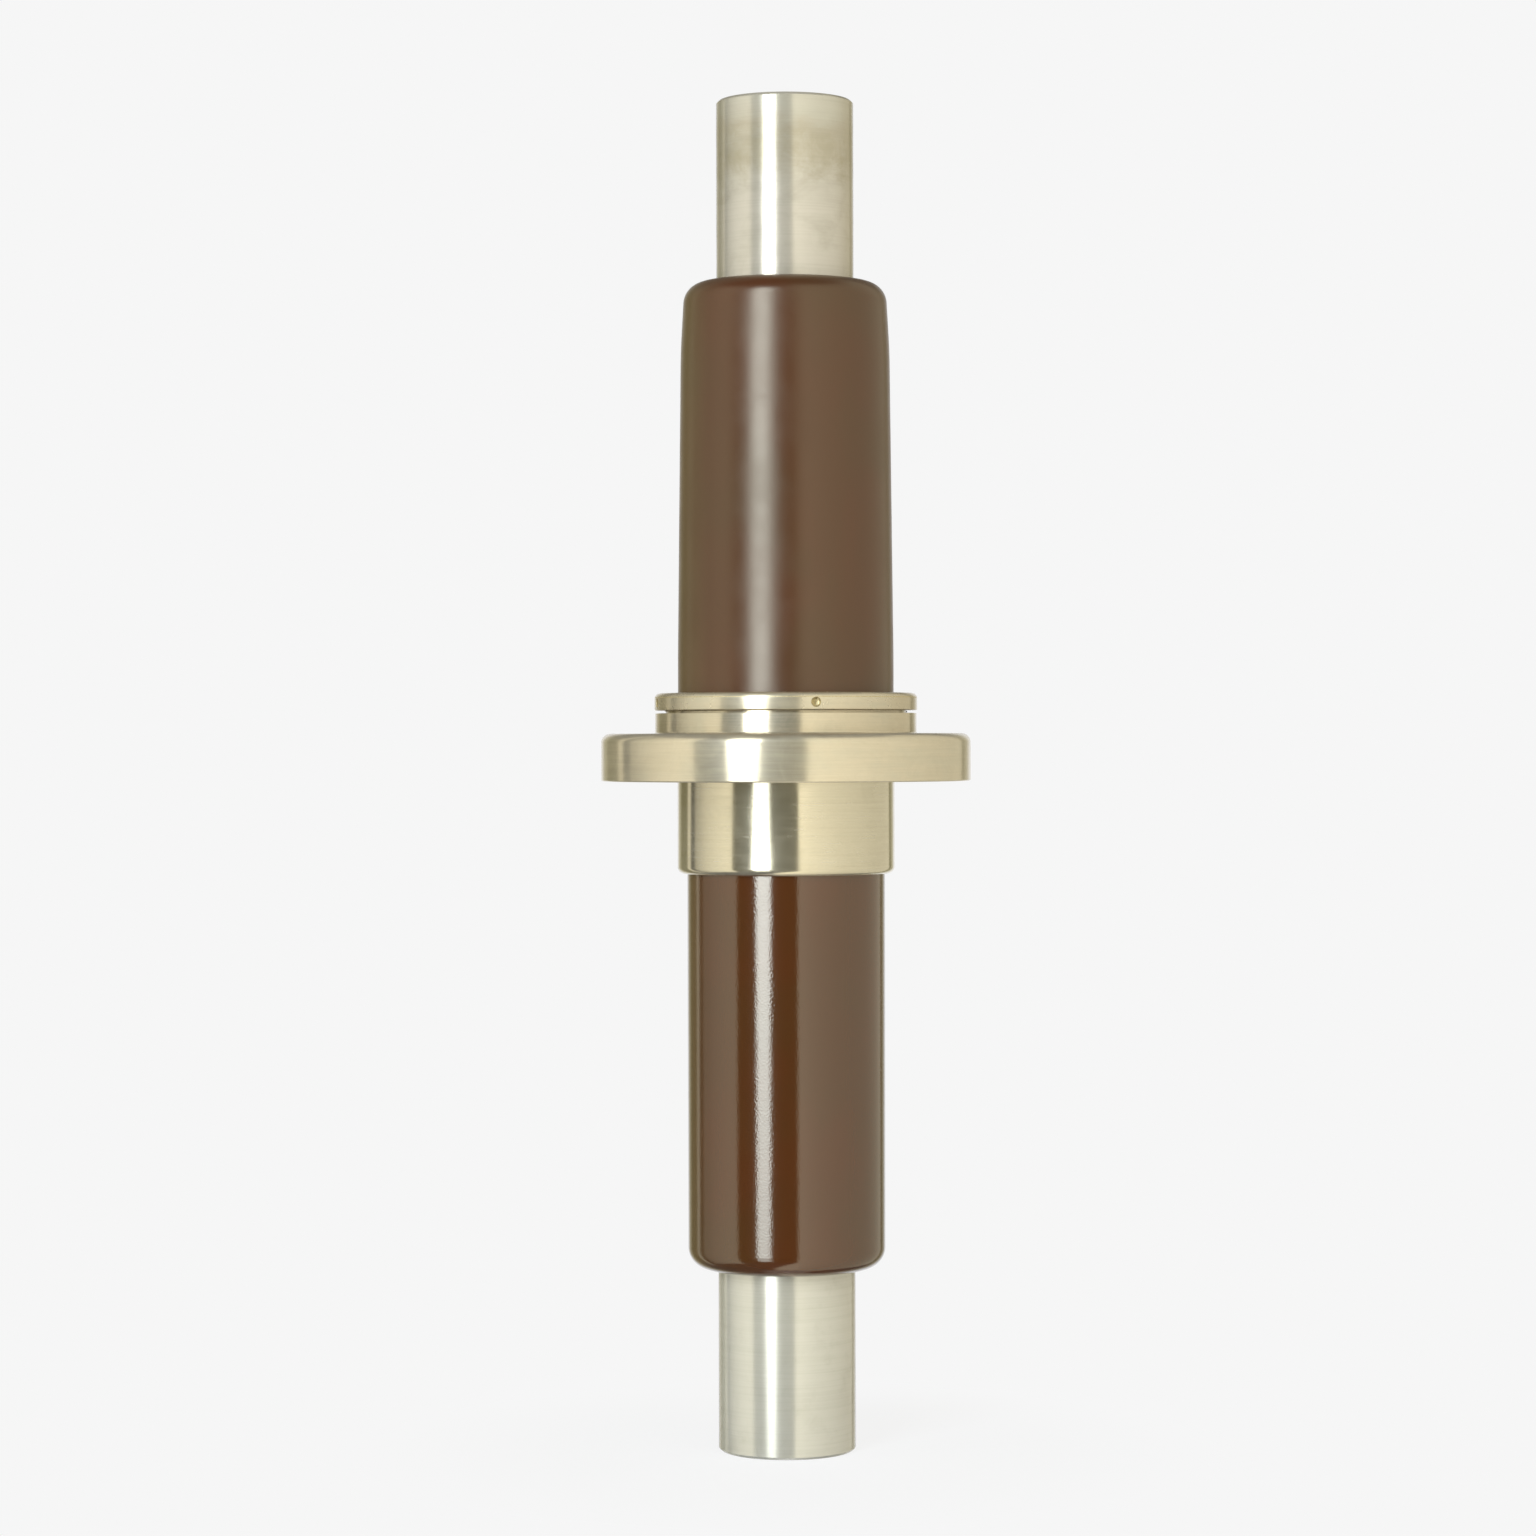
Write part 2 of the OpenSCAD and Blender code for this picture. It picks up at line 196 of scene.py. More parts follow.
class RingSizes(bpy.types.PropertyGroup):
    """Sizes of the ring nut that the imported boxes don't give"""

    wall: Length("Wall", "Wall outside the thread", 5.6)
    edge_r: Length("Edge radius", "Round upper edge", 3.2)
    lower_chamfer: Length("Lower chamfer", "Chamfer of the lower edge", 0.4)
    lip_play: Length("Lip play", "Play between the lip and the body", 0.4)
    hole_count: Count("Spanner holes", "Number of holes for the pin spanner", 4)
    hole_segments: Count("Spanner hole segments", "Steps round a spanner hole", 48, 12)
    hole_r: Length("Hole radius", "Radius of the spanner holes", 2.6)
    hole_depth: Length("Hole depth", "Straight depth of the spanner holes", 3.2)
    hole_rise: Length("Hole rise", "Height of the holes above the underside", 4.3)
    hole_chamfer: Length("Hole chamfer", "Chamfer at the holes' mouth", 0.35)
    hole_angle: Angle("Hole angle", "From the front to the first hole, towards +X", 13)
    drill_half_angle: Angle("Drill half angle", "Half of the drill tip's angle", 59)


class FinishSettings(bpy.types.PropertyGroup):
    """Colours of the finishes, as they look in plain light, and some colours of painted shade, painted
    light and painted reflection
    """

    brass: Colour("Brass", "Clean turned brass", (0.80, 0.75, 0.64))
    brass_lacquered: Colour("Lacquered brass", "Turned brass under lacquer", (0.78, 0.695, 0.56))
    # Painted shade: the darker brass laid on where a surface is seen edge-on
    brass_edge_shade: Colour("Deep brass", "Lacquered brass seen edge-on", (0.50, 0.40, 0.24))
    brass_worn: Colour("Handled brass", "Brass where it has gone dull", (0.71, 0.665, 0.555))
    brass_groove: Colour("Brass grooves", "Brass in the grooves of the tool", (0.4, 0.34, 0.2))
    brass_drilled: Colour("Drilled brass", "Brass inside a drilled hole", (0.80, 0.70, 0.46))
    brass_scored: Colour("Scored brass", "Scores inside a drilled hole", (0.50, 0.42, 0.25))
    silver: Colour("Silver plate", "Clean silver plate", (0.785, 0.775, 0.746))
    silver_yellow: Colour("Yellowed plate", "The plate on the air side", (0.735, 0.70, 0.68))
    silver_cloud: Colour("Clouded silver", "Grey clouds on the plate", (0.50, 0.48, 0.43))
    silver_tarnish: Colour("Tarnished silver", "Tarnish at the upper end", (0.70, 0.68, 0.64))
    silver_brown: Colour("Browned silver", "Brown band under the end", (0.48, 0.43, 0.31))
    silver_groove: Colour("Silver grooves", "Plate in the tool's grooves", (0.42, 0.42, 0.36))
    silver_ring: Colour("Silver rings", "Broad rings of the tool", (0.50, 0.50, 0.44))
    # Painted shade: the darker, yellower plate laid on the air side where it is seen aslant
    silver_aslant_shade: Colour("Yellow side", "Plate of the air side, seen aslant", (0.40, 0.35, 0.23))
    # Painted shade: the dark plate laid on where it is seen edge-on
    silver_edge_shade: Colour("Dark edge", "Plate seen edge-on", (0.12, 0.12, 0.08))
    resin: Colour("Resin", "Brown resin", (0.086, 0.0278, 0.0070))
    resin_red: Colour("Red resin", "Where the resin is redder", (0.095, 0.0268, 0.0066))
    resin_olive: Colour("Olive resin", "Where the resin is greener", (0.081, 0.0305, 0.0078))
    # Painted reflection: the paler olive rim laid on the satin resin where it is seen edge-on
    resin_rim_sheen: Colour("Dusted resin", "Rubbed resin seen edge-on", (0.150, 0.105, 0.055))
    # Painted light: the paler resin laid on the side towards -X
    resin_painted_light: Colour("Rubbed resin", "Where the resin was handled", (0.24, 0.190, 0.105))
    resin_sheen: Colour("Resin sheen", "Tint of the satin resin's sheen", (1.0, 0.985, 0.94))
    rubber: Colour("Rubber", "Black nitrile rubber", (0.018, 0.018, 0.019))
    rubber_bloom: Colour("Rubber bloom", "Dry bloom on the rubber", (0.05, 0.05, 0.052))
    washer: Colour("Washer steel", "Plain stainless steel", (0.56, 0.56, 0.55))
    washer_ring: Colour("Washer rings", "Rings of the tool on the steel", (0.38, 0.38, 0.37))
    bronze: Colour("Spring bronze", "Contact strip", (0.62, 0.36, 0.18))
    bronze_skin: Colour("Bronze skin", "Skin of heat on the bronze", (0.40, 0.20, 0.11))


class StudioSettings(bpy.types.PropertyGroup):
    """The photograph's camera and a ring of soft panels round the bushing.
    Panel angles run from the camera's side towards +X, and are negative towards -X."""

    backdrop: Level("Backdrop", "Level of the white backdrop", 0.922)
    strip_level: Level("Strip light", "Level of the narrow front light", 8.0)
    strip_left: Angle("Strip left", "Left edge of the narrow light", -36.8)
    strip_right: Angle("Strip right", "Right edge of the narrow light", -16.4)
    strip_low: Angle("Strip low", "Lower end of the narrow light", -26)
    strip_high: Angle("Strip high", "Upper end of the narrow light", 39)
    left_panel_near: Angle("Left panel near", "Edge nearest the camera", -59)
    left_panel_far: Angle("Left panel far", "Edge nearest the backdrop", -129)
    left_panel_low: Angle("Left panel low", "Lower edge", -38)
    left_panel_high: Angle("Left panel high", "Upper edge", 44)
    right_panel_near: Angle("Right panel near", "Edge nearest the camera", 13.0)
    right_panel_far: Angle("Right panel far", "Edge nearest the backdrop", 142)
    right_panel_low: Angle("Right panel low", "Lower edge", -78)
    right_panel_high: Angle("Right panel high", "Upper edge", 54)
    backdrop_left: Angle("Backdrop left", "Where the backdrop begins on the left", -162)
    backdrop_right: Angle("Backdrop right", "Where the backdrop begins on the right", 160)
    backdrop_high: Angle("Backdrop high", "Upper edge of the backdrop", 18)
    wall_left: Angle("Rear wall left", "Where the lit rear wall begins on the left", -149)
    wall_right: Angle("Rear wall right", "Where the lit rear wall begins on the right", 148)
    wall_level: Level("Rear wall", "Level of the rear wall beside the backdrop", 0.42)
    dark_level: Level("Dark room", "Level between the lights", 0.082)
    overhead_level: Level("Overhead", "Level straight above", 0.12)
    rear_level: Level("Rear ceiling", "Level high up behind the bushing", 0.18)
    low_level: Level("Low room", "Level below the lights", 0.12)
    floor_level: Level("Floor", "Level of the floor straight below", 0.5)
    room_tint: Colour("Room tint", "Light from above and below", (1.0, 0.97, 0.88))
    level_tint: Colour("Level tint", "Light of the room at the lights' height", (1.0, 0.90, 0.45))
    panel_tint: Colour("Panel tint", "Light of the side panels", (1.0, 0.93, 0.70))
    wall_tint: Colour("Wall tint", "Light of the rear wall", (1.0, 0.93, 0.62))
    strip_tint: Colour("Strip tint", "Light of the narrow front light", (0.95, 1.0, 0.93))
    floor_shade: Colour("Floor shade", "Darker grain of the floor", (0.79, 0.835, 0.98))
    floor_light: Colour("Floor light", "Paler grain of the floor", (0.81, 0.855, 1.0))
    camera_distance: Length("Camera distance", "From the axis to the camera", 2400)
    camera_height: Length("Camera height", "Above the flange's underside", 23.8)
    camera_lens: Level("Lens", "Focal length in millimetres", 96.33)
    camera_sensor: Level("Sensor", "Width of the sensor in millimetres", 36)
    camera_near: Length("Near limit", "Nearest distance that the camera sees", 50)
    camera_far: Length("Far limit", "Farthest distance that the camera sees", 50000)
    camera_pitch: Angle("Camera pitch", "Tilt below the horizon", 0.39)
    camera_yaw: Angle("Camera yaw", "Turn to the left", 0.2495)
    camera_roll: Angle("Camera roll", "Clockwise roll", 0.122)
    floor_radius: Length("Floor radius", "Radius of the pale floor", 280)
    floor_gap: Length("Floor gap", "Depth of the floor under the bar's end", 0.2)
    floor_segments: Count("Floor segments", "Steps round the floor", 96, 12)


SETTINGS = {
    "bushing_lathe": LatheSettings,
    "bushing_conductor": ConductorSizes,
    "bushing_resin": ResinSizes,
    "bushing_flange": FlangeSizes,
    "bushing_ring": RingSizes,
    "bushing_finish": FinishSettings,
    "bushing_studio": StudioSettings,
}


# Outlines of turned sections, as corners of (radius, height, edge radius)

def rounded_outline(corners, closed, lathe):
    """The points of a section whose corners are rounded by arcs of their own radius.
    A straight wall beside a large arc gets a guard point, so that it shades as flat."""
    points = []
    count = len(corners)
    for i, (r, z, edge) in enumerate(corners):
        at_end = not closed and i in (0, count - 1)
        if at_end or edge == 0:
            points.append((r, z))
            continue
        before = corners[i - 1]
        after = corners[(i + 1) % count]
        back = (before[0] - r, before[1] - z)
        ahead = (after[0] - r, after[1] - z)
        points += corner_arc(back, ahead, (r, z), edge, lathe)
    if closed:
        points.append(points[0])
    return points


def corner_arc(back, ahead, corner, edge, lathe):
    """An arc tangent to the two walls that leave a corner, with its guard points."""
    back_len = math.hypot(*back)
    ahead_len = math.hypot(*ahead)
    back = (back[0] / back_len, back[1] / back_len)
    ahead = (ahead[0] / ahead_len, ahead[1] / ahead_len)
    opening = math.acos(max(-1, min(1, back[0] * ahead[0] + back[1] * ahead[1])))
    turn = math.pi - opening
    run = edge * math.tan(turn / 2)
    bisector = (back[0] + ahead[0], back[1] + ahead[1])
    bisector_len = math.hypot(*bisector)
    reach = edge / math.cos(turn / 2)
    centre = (
        corner[0] + bisector[0] / bisector_len * reach,
        corner[1] + bisector[1] / bisector_len * reach,
    )
    start = (corner[0] + back[0] * run, corner[1] + back[1] * run)
    start_angle = math.atan2(start[1] - centre[1], start[0] - centre[0])
    way = 1 if back[0] * ahead[1] - back[1] * ahead[0] < 0 else -1
    large = edge > 2 * lathe.edge_break
    steps = math.ceil(turn / (math.pi / 2) * (lathe.arc_steps if large else lathe.edge_steps))
    steps = lathe.bend_steps if turn < lathe.slight_bend else max(2, steps)
    points = []
    if large and back_len > run + 2 * lathe.guard:
        points.append((start[0] + back[0] * lathe.guard, start[1] + back[1] * lathe.guard))
    for k in range(steps + 1):
        angle = start_angle + way * turn * k / steps
        points.append((centre[0] + edge * math.cos(angle), centre[1] + edge * math.sin(angle)))
    if large and ahead_len > run + 2 * lathe.guard:
        end = points[-1]
        points.append((end[0] + ahead[0] * lathe.guard, end[1] + ahead[1] * lathe.guard))
    return points


# Modelling, as at the bench: a profile is drawn, spun, drilled and deburred

def deselect_all():
    if bpy.context.object and bpy.context.object.mode != "OBJECT":
        bpy.ops.object.mode_set(mode="OBJECT")
    bpy.ops.object.select_all(action="DESELECT")


def select_only(piece):
    deselect_all()
    piece.select_set(True)
    bpy.context.view_layer.objects.active = piece


def draw_profile(name, points):
    """Draws a profile in the XZ plane by extruding one vertex from point to point."""
    deselect_all()
    bpy.ops.mesh.primitive_circle_add(vertices=3, radius=MM, fill_type="NOTHING")
    piece = bpy.context.object
    piece.name = name
    piece.data.name = name
    bpy.ops.object.mode_set(mode="EDIT")
    bpy.ops.mesh.merge(type="CENTER")
    bpy.ops.transform.translate(value=(points[0][0], 0, points[0][1]))
    for start, end in zip(points, points[1:]):
        step = (end[0] - start[0], 0, end[1] - start[1])
        bpy.ops.mesh.extrude_vertices_move(TRANSFORM_OT_translate={"value": step})
    bpy.ops.mesh.select_all(action="SELECT")
    bpy.ops.mesh.remove_doubles(threshold=WELD)
    return piece


def turn_piece(name, points, segments):
    """Spins a profile round the Z axis into a closed solid."""
    piece = draw_profile(name, points)
    bpy.ops.mesh.spin(steps=segments, angle=FULL_TURN, center=(0, 0, 0), axis=(0, 0, 1))
    bpy.ops.mesh.select_all(action="SELECT")
    bpy.ops.mesh.remove_doubles(threshold=WELD)
    bpy.ops.mesh.normals_make_consistent(inside=False)
    bpy.ops.object.mode_set(mode="OBJECT")
    return piece


def place_cutter(piece, location, rotation):
    """Moves and turns a cutter and puts its place into its mesh."""
    select_only(piece)
    piece.location = location
    piece.rotation_euler = rotation
    bpy.ops.object.transform_apply(location=True, rotation=True, scale=True)


def copy_piece(piece):
    select_only(piece)
    bpy.ops.object.duplicate()
    return bpy.context.object


def join_pieces(pieces):
    deselect_all()
    for piece in pieces:
        piece.select_set(True)
    bpy.context.view_layer.objects.active = pieces[0]
    bpy.ops.object.join()
    return pieces[0]


def cut_away(piece, cutter):
    """Takes the cutter's shape off the piece and removes the cutter."""
    select_only(piece)
    cut = piece.modifiers.new("Cut", "BOOLEAN")
    cut.operation = "DIFFERENCE"
    cut.solver = "EXACT"
    cut.object = cutter
    bpy.ops.object.modifier_apply(modifier=cut.name)
    select_only(cutter)
    bpy.ops.object.delete()


def finish_piece(piece, node, materials):
    """Smooths the walls, keeps the edges sharp, and lets the piece stand for its CAD node."""
    select_only(piece)
    bpy.ops.object.shade_smooth_by_angle(angle=SMOOTH_ANGLE)
    piece.data.materials.clear()
    for material in materials:
        piece.data.materials.append(material)
    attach(piece, BODY)
    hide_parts(node)


# Node trees

class Signal:
    """A number or colour on its way through a node tree. Its sums, products and blends,
    with other signals or with plain values, are nodes of the same tree."""

    def __init__(self, socket):
        self.socket = socket
        self.tree = socket.id_data

    def maths(self, operation, *others):
        inputs = dict(enumerate((self, *others)))
        return add_node(self.tree, "ShaderNodeMath", inputs, operation=operation)

    def __add__(self, other):
        return self.maths("ADD", other)

    def __sub__(self, other):
        return self.maths("SUBTRACT", other)

    def __mul__(self, other):
        return self.maths("MULTIPLY", other)

    def larger(self, other):
        return self.maths("MAXIMUM", other)

    def ease(self, low, high, start=0.0, end=1.0, interpolation="SMOOTHSTEP"):
        """Goes smoothly from start to end while the signal goes from low to high."""
        inputs = {"Value": self, "From Min": low, "From Max": high, "To Min": start, "To Max": end}
        return add_node(
            self.tree, "ShaderNodeMapRange", inputs, "Result", interpolation_type=interpolation
        )

    def window(self, low, high, soft):
        """1 between low and high, falling to 0 over a soft edge at both ends."""
        rise = self.ease(low - soft / 2, low + soft / 2)
        return rise * self.ease(high - soft / 2, high + soft / 2, 1.0, 0.0)

    def lerp(self, a, b):
        """Mixes two numbers, the signal being the share of the second."""
        return add_node(self.tree, "ShaderNodeMix", {0: self, 2: a, 3: b}, data_type="FLOAT")

    def blend(self, a, b):
        """Mixes two colours, the signal being the share of the second."""
        return add_node(self.tree, "ShaderNodeMix", {0: self, 6: a, 7: b}, 2, data_type="RGBA")

    def parts(self):
        """The three parts of a vector."""
        node = self.tree.nodes.new("ShaderNodeSeparateXYZ")
        fill_sockets(node, {0: self})
        return [Signal(output) for output in node.outputs]


def fill_sockets(node, values):
    """Links signals to a node's sockets, and sets plain values on the sockets themselves."""
    for key, value in values.items():
        socket = node.inputs[key]
        if isinstance(value, Signal):
            node.id_data.links.new(value.socket, socket)
        elif socket.type == "RGBA":
            socket.default_value = (value[0], value[1], value[2], 1.0)
        else:
            socket.default_value = value


def add_node(tree, kind, inputs=None, output=0, **settings):
    """Adds a node, sets its settings, fills its sockets and gives one of its outputs."""
    node = tree.nodes.new(kind)
    for name, value in settings.items():
        setattr(node, name, value)
    fill_sockets(node, inputs or {})
    return Signal(node.outputs[output])


def empty_tree(owner):
    """Clears the nodes of a new material or world."""
    owner.use_nodes = True
    owner.node_tree.nodes.clear()
    return owner.node_tree


def show_surface(tree, kind, surface):
    """Ends a tree in its output node."""
    fill_sockets(tree.nodes.new(kind), {"Surface": surface})


def new_material(name):
    """A new material with its shader, and the place of the point being shaded."""
    material = bpy.data.materials.new(name)
    tree = empty_tree(material)
    shader = tree.nodes.new("ShaderNodeBsdfPrincipled")
    show_surface(tree, "ShaderNodeOutputMaterial", Signal(shader.outputs[0]))
    return material, shader, add_node(tree, "ShaderNodeTexCoord", output="Object")


def stretch(place, across, along):
    """Scales a place across the bar and along it."""
    inputs = {"Vector": place, "Scale": (across, across, along)}
    return add_node(place.tree, "ShaderNodeMapping", inputs)


def noise(place, scale, detail, roughness=0.5, distortion=0.0):
    """A cloudy pattern of about so many clouds a metre."""
    inputs = {
        "Vector": place, "Scale": scale, "Detail": detail, "Roughness": roughness,
        "Distortion": distortion,
    }
    return add_node(place.tree, "ShaderNodeTexNoise", inputs)


def tool_marks(place, across, along, detail, roughness):
    """A pattern that changes slowly round the axis and fast along the tool's travel,
    up a wall and outwards on an end face."""
    x, y, z = place.parts()
    radius = (x * x + y * y).maths("SQRT")
    inputs = {0: x * across + radius * along, 1: y * across, 2: z * along}
    return noise(add_node(place.tree, "ShaderNodeCombineXYZ", inputs), 1.0, detail, roughness)


def raise_bump(height, distance, normal=None):
    """A bump of a pattern, on top of another bump where one is given."""
    inputs = {"Height": height, "Distance": distance, "Strength": 1.0}
    if normal:
        inputs["Normal"] = normal
    return add_node(height.tree, "ShaderNodeBump", inputs)


def edge_on(place):
    """0 where a surface faces the eye, rising to 1 where it is seen edge-on."""
    return add_node(place.tree, "ShaderNodeLayerWeight", {"Blend": 0.5}, "Facing")


def turn_grooves(shader, anisotropy):
    """Runs a metal's fine grooves round the axis, which draws its highlights out along it."""
    quarter_turn = 0.25
    fill_sockets(shader, {
        "Anisotropic": anisotropy,
        "Anisotropic Rotation": quarter_turn,
        "Tangent": add_node(shader.id_data, "ShaderNodeTangent", direction_type="RADIAL", axis="Z"),
    })


# Materials, each a colour with its wear, a roughness and a bump; some colours also carry painted
# shade, painted light and painted reflection

def brass_material(name, finish, roughness, anisotropy, clearness, groove_depth, lacquer, depth=0.0):
    """Turned brass: fine grooves, dull streaks, soft clouds and a thin dull lacquer.
    Clearness is the share that isn't haze, and depth the share of painted shade: a deeper, darker
    brass where the surface is seen edge-on."""
    material, shader, place = new_material(name)
    turn_grooves(shader, anisotropy)
    grooves = tool_marks(place, 9, 1300, 4.0, 0.65)
    streaks = tool_marks(place, 16, 420, 3.0, 0.6)
    hazes = tool_marks(place, 22, 620, 4.0, 0.65)
    clouds = noise(place, 30.0, 4.0, 0.6, 0.5)
    wiped = noise(place, 46.0, 3.0, 0.6, 1.2)
    dullness = streaks * 0.3 + clouds * 0.7
    colour = finish.brass_lacquered if lacquer > 0.5 else finish.brass
    colour = dullness.ease(0.44, 0.74).blend(colour, finish.brass_worn)
    # Painted shade: brass goes deeper and darker where it is seen edge-on, by the share in depth
    colour = edge_on(place).ease(0.25, 0.65, 0.0, depth).blend(colour, finish.brass_edge_shade)
    colour = grooves.ease(0.3, 0.7, 0.0, 0.10).blend(colour, finish.brass_groove)
    clear = hazes.ease(0.3, 0.7, 0.045, -0.055) + wiped.ease(0.35, 0.65, 0.04, -0.04)
    fill_sockets(shader, {
        "Base Color": colour,
        "Metallic": clear + clearness,
        "Roughness": clouds.ease(0.35, 0.7, -0.02, 0.04) + roughness,
        "Normal": raise_bump(grooves * 0.5 + streaks, groove_depth),
        "Coat Weight": lacquer,
        "Coat Roughness": 0.42,
        "Coat IOR": 2.2,
    })
    return material


def drilled_brass_material(finish):
    """Rough brass as a drill leaves it, deeper in colour than the turned walls."""
    material, shader, place = new_material("brass_drilled")
    marks = noise(place, 1500.0, 3.0, 0.6)
    fill_sockets(shader, {
        "Base Color": marks.ease(0.35, 0.7).blend(finish.brass_drilled, finish.brass_scored),
        "Metallic": 0.7,
        "Roughness": marks.ease(0.3, 0.7, 0.38, 0.48),
        "Normal": raise_bump(marks, 0.02 * MM),
    })
    return material


def silver_material(finish):
    """Silver plate on a turned bar, clouded grey, turning yellow and brown towards the upper end, with
    painted shade that darkens and yellows it where it is seen aslant and edge-on.
    """
    material, shader, place = new_material("silver_plate_turned")
    turn_grooves(shader, 0.45)
    grooves = tool_marks(place, 10, 900, 5.0, 0.7)
    rings = tool_marks(place, 5, 240, 3.0, 0.6)
    clouds = noise(stretch(place, 22.0, 44.0), 1.0, 4.0, 0.6, 0.6)
    patches = noise(place, 75.0, 4.0, 0.65, 0.3)
    facing = edge_on(place)
    height = place.parts()[2]
    end = top("conductor")
    air_side = height.ease(bottom("conductor"), end)
    cloud_reach = 34 * MM
    patch_reach = 16 * MM
    noise_mean = 0.5
    ragged = height + (clouds - noise_mean) * cloud_reach + (patches - noise_mean) * patch_reach
    near_end = ragged.ease(end - 22 * MM, end - 4 * MM)
    under_end = ragged.window(end - 42 * MM, end - 12 * MM, 22 * MM)
    cloudy = clouds.ease(0.46, 0.76) * (air_side * 0.50 + 0.12)
    browned = under_end * patches.ease(0.30, 0.64, 0.36, 0.62)
    tarnished = near_end * clouds.ease(0.25, 0.6)
    # Painted shade: the air-side plate turns darker and yellower where it is seen aslant
    aslant_shade = facing.ease(0.30, 0.70, 0.0, 0.36) * air_side
    colour = air_side.blend(finish.silver, finish.silver_yellow)
    colour = cloudy.blend(colour, finish.silver_cloud)
    colour = browned.blend(colour, finish.silver_brown)
    colour = patches.ease(0.5, 0.8, 0.0, 0.25).blend(colour, finish.silver_cloud)
    colour = tarnished.blend(colour, finish.silver_tarnish)
    colour = grooves.ease(0.42, 0.72, 0.0, 0.16).blend(colour, finish.silver_groove)
    colour = rings.ease(0.45, 0.75, 0.0, 0.12).blend(colour, finish.silver_ring)
    # Painted shade: darker and yellower aslant, then dark at the silhouettes
    colour = aslant_shade.blend(colour, finish.silver_aslant_shade)
    colour = facing.ease(0.80, 0.97, 0.0, 0.62).blend(colour, finish.silver_edge_shade)
    fill_sockets(shader, {
        "Base Color": colour,
        "Metallic": 0.40,
        "Roughness": patches.ease(0.3, 0.7, 0.20, 0.26),
        "Normal": raise_bump(grooves, 0.003 * MM),
    })
    return material


def resin_colour(place, finish):
    """Brown resin that drifts between redder and greener over a hand's width,
    with painted light that makes it paler on the side towards -X."""
    stretched = stretch(place, 11.0, 7.0)
    drift = noise(stretched, 1.0, 3.0, 0.5, 0.5)
    other = noise(stretched, 1.7, 2.0, 0.5, 0.2)
    side = place.parts()[0]
    # Painted light: the resin turns paler on the side towards -X, mottled by the drift
    painted_light_starts = -42 * MM
    painted_light_full = -56 * MM
    painted_light_share = drift.ease(0.2, 0.6, 0.20, 0.34) * side.ease(painted_light_starts, painted_light_full)
    colour = drift.ease(0.40, 0.62).blend(finish.resin, finish.resin_red)
    colour = other.ease(0.48, 0.72).blend(colour, finish.resin_olive)
    return painted_light_share.blend(colour, finish.resin_painted_light)


def satin_resin_material(finish):
    """The air side: smoothed down to a satin sheen, with faint marks of the lathe and a painted paler
    rim, a painted reflection, where it is seen edge-on.
    """
    material, shader, place = new_material("resin_satin")
    marks = tool_marks(place, 6, 420, 3.0, 0.55)
    handled = noise(place, 34.0, 4.0, 0.6, 0.3)
    # Painted reflection: the satin resin turns paler towards its silhouettes
    painted_rim_sheen = edge_on(place).ease(0.25, 0.75, 0.0, 0.30)
    fill_sockets(shader, {
        "Base Color": painted_rim_sheen.blend(resin_colour(place, finish), finish.resin_rim_sheen),
        "Roughness": handled.ease(0.3, 0.7, 0.27, 0.33) + marks * 0.03,
        "IOR": 1.8,
        "Specular Tint": finish.resin_sheen,
        "Normal": raise_bump(marks, 0.012 * MM),
    })
    return material


def gloss_resin_material(finish):
    """The oil side: as moulded, glossy, with a fine orange peel under the gloss."""
    material, shader, place = new_material("resin_gloss")
    peel = raise_bump(noise(place, 900.0, 2.0), 0.05 * MM)
    fill_sockets(shader, {
        "Base Color": resin_colour(place, finish),
        "Roughness": 0.24,
        "Specular IOR Level": 0.14,
        "Normal": peel,
        "Coat Weight": 1.0,
        "Coat Roughness": 0.05,
        "Coat IOR": 1.85,
        "Coat Normal": raise_bump(noise(place, 60.0, 2.0), 0.05 * MM, peel),
    })
    return material


def rubber_material(finish):
    """Black nitrile rubber with a dry bloom and a faint moulded grain."""
    material, shader, place = new_material("nitrile_rubber")
    bloom = noise(place, 90.0, 4.0, 0.6)
    fill_sockets(shader, {
        "Base Color": bloom.ease(0.4, 0.8, 0.0, 0.5).blend(finish.rubber, finish.rubber_bloom),
        "Roughness": bloom.ease(0.3, 0.7, 0.5, 0.7),
        "Normal": raise_bump(noise(place, 2400.0, 2.0), 0.01 * MM),
    })
    return material


def washer_material(finish):
    """Stainless washer, turned faces with fine rings."""
    material, shader, place = new_material("washer_steel_turned")
    turn_grooves(shader, 0.6)
    rings = tool_marks(place, 10, 1100, 3.0, 0.6)
    fill_sockets(shader, {
        "Base Color": rings.ease(0.3, 0.8, 0.0, 0.4).blend(finish.washer, finish.washer_ring),
        "Metallic": 0.9,
        "Roughness": rings.ease(0.3, 0.7, 0.24, 0.34),
        "Normal": raise_bump(rings, 0.01 * MM),
    })
    return material


def bronze_material(finish):
    """Rolled spring bronze, with a darker skin of heat."""
    material, shader, place = new_material("spring_bronze_rolled")
    skin = noise(place, 120.0, 4.0, 0.6, 0.4)
    rolling = tool_marks(place, 10, 1400, 2.0, 0.5)
    fill_sockets(shader, {
        "Base Color": skin.ease(0.4, 0.75).blend(finish.bronze, finish.bronze_skin),
        "Metallic": 1.0,
        "Roughness": rolling.ease(0.3, 0.7, 0.22, 0.34),
        "Normal": raise_bump(rolling, 0.006 * MM),
    })
    return material


# Sections of the turned pieces

